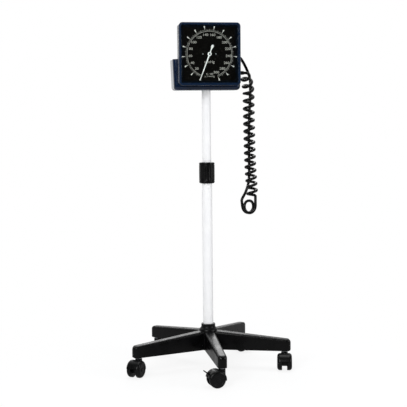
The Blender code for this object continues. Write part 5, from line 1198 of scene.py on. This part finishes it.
cuff_cloth, tree, shader, place = new_look("navy_nylon_weave")
lie = (add(tree, "Attribute", attribute_name="cloth_place"), "Vector")
threads = [(add(tree, "TexWave", {"Vector": lie, "Scale": 570.0, "Distortion": 0.6,
                                  "Detail": 1.0}, bands_direction=axis), "Fac")
           for axis in ("X", "Y")]
weave = maths("MULTIPLY", *threads)
fade = noise(place, 45.0, 4.0)
wire(shader, base=inked(weave, "#0f1830", tones(fade, "#0f1830", "#22304f")), sheen=0.25,
     rough=between(fade, 0.74, 0.88), normal=raised(weave, 0.5, 0.00025))
cuff = fit("sewn_cuff", band, cuff_place, cuff_cloth, "mast", "folded_cuff", sharp=60)
hook_tape, tree, shader, place = new_look("black_hook_tape")
hooks = add(tree, "TexVoronoi", {"Vector": place, "Scale": 1100.0})
wire(shader, base=tones(hooks, "#1a1a1c", "#090909"), normal=raised(hooks, 0.7, 0.0006),
     rough=between(noise(place, 200.0), 0.7, 0.9))
patch = slab(box_outline(0.024, 0.022, 0.002, 5, (0.0285, 0.0185)), 0.0692, 0.0705, 0.0004)
fit("cuff_hook_tape", patch, cuff_place, hook_tape, "mast")

sewing_thread = plain_look("navy_sewing_thread", "cuff_nylon", (2500.0, 2.0),
                           ("#1c2947", "#33436a"), (0.6, 0.75), 0.3, 0.0001)
stitch_size, stitch_step = (0.0014, 0.00035), 0.0021
stitches = []
for lengthways, start, count in (
    (True, (0.003, 0.0016, 0.0649), 16), (True, (0.003, cuff_width - 0.0016, 0.0649), 16),
    (True, (0.018, 0.0087, 0.07055), 11), (True, (0.018, 0.0283, 0.07055), 11),
    (False, (0.0177, 0.01, 0.07055), 9), (False, (0.0393, 0.01, 0.07055), 9),
):
    size = stitch_size if lengthways else stitch_size[::-1]
    stitch = slab(box_outline(*size, 0.00016, 3), -0.0001, 0.00015, 0.00012, 2)
    step = (stitch_step, 0, 0) if lengthways else (0, stitch_step, 0)
    stitches.append(repeated(stitch, sewing_thread, Count=count, Start=start, Step=step))
fit("cuff_stitching", joined(*stitches), cuff_place, sewing_thread, "mast")

# Hoses of the cuff: two short rubber tubes, one from the bulb's valve and one from the
# connector, each through a moulded collar on the cuff.

small_diameter = 0.0052
for name, node, places in (
    ("bulb_tube", "bulb_hose", from_mast(
        (-0.0412, 0.0065, 0.7648), (-0.036, 0.0065, 0.7648), (-0.01647, 0.003375, 0.7674),
        (0.00827, -0.00183, 0.77), (0.033, -0.006, 0.7708), (0.033, -0.006, 0.7656))),
    ("cuff_tube", "cuff_hose", from_mast(
        (0.0457, 0.022, 0.77085), (0.0405, 0.022, 0.77085), (0.0365, 0.01725, 0.770825),
        (0.0325, 0.0125, 0.7708), (0.0325, 0.0125, 0.7656))),
):
    fit(name, tube_along(smooth_way(places, small_diameter * 0.3), small_diameter), Matrix(),
        hose_rubber, "mast", node)
    collar = turned(eased([
        (0.0026, 0.002), (0.0034, 0.002), (0.0042, 0.0002), (0.0052, -0.0004),
        (0.0052, -0.0012), (0.0026, -0.0012)], 0.0003, 3, True), 40, ring=True)
    fit(f"{name}_collar", collar, shift(*places[-1]), bulb_rubber, "mast")

# What stays of the CAD: the parts inside the mast and the collar, and the movement behind the
# dial, with its brass plates, rippled capsule, toothed sector and steel pinion.

natural_nylon = plain_look("natural_nylon", "white_nylon", (120.0,), ("#d9d7d0", "#e6e4de"),
                           (0.42, 0.55), 0.1, 0.0001)
brass = plated("turned_brass", "#a9812f", "#c39a45", (0.25, 0.38))
for look, names in (
    (zinc_steel, ("tube_plug", "pinion_arbor", "hairspring")),
    (black_nylon, ("collar_sleeve", "mast_foot_plug")),
    (natural_nylon, ("grip_collet",)),
    (hose_rubber, ("feed_tube",)),
    (brass, ("aneroid_capsule", "movement_back_plate", "movement_front_plate",
             "toothed_sector")),
):
    for name in names:
        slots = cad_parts[name].data.materials
        for index in range(len(slots)):
            slots[index] = look
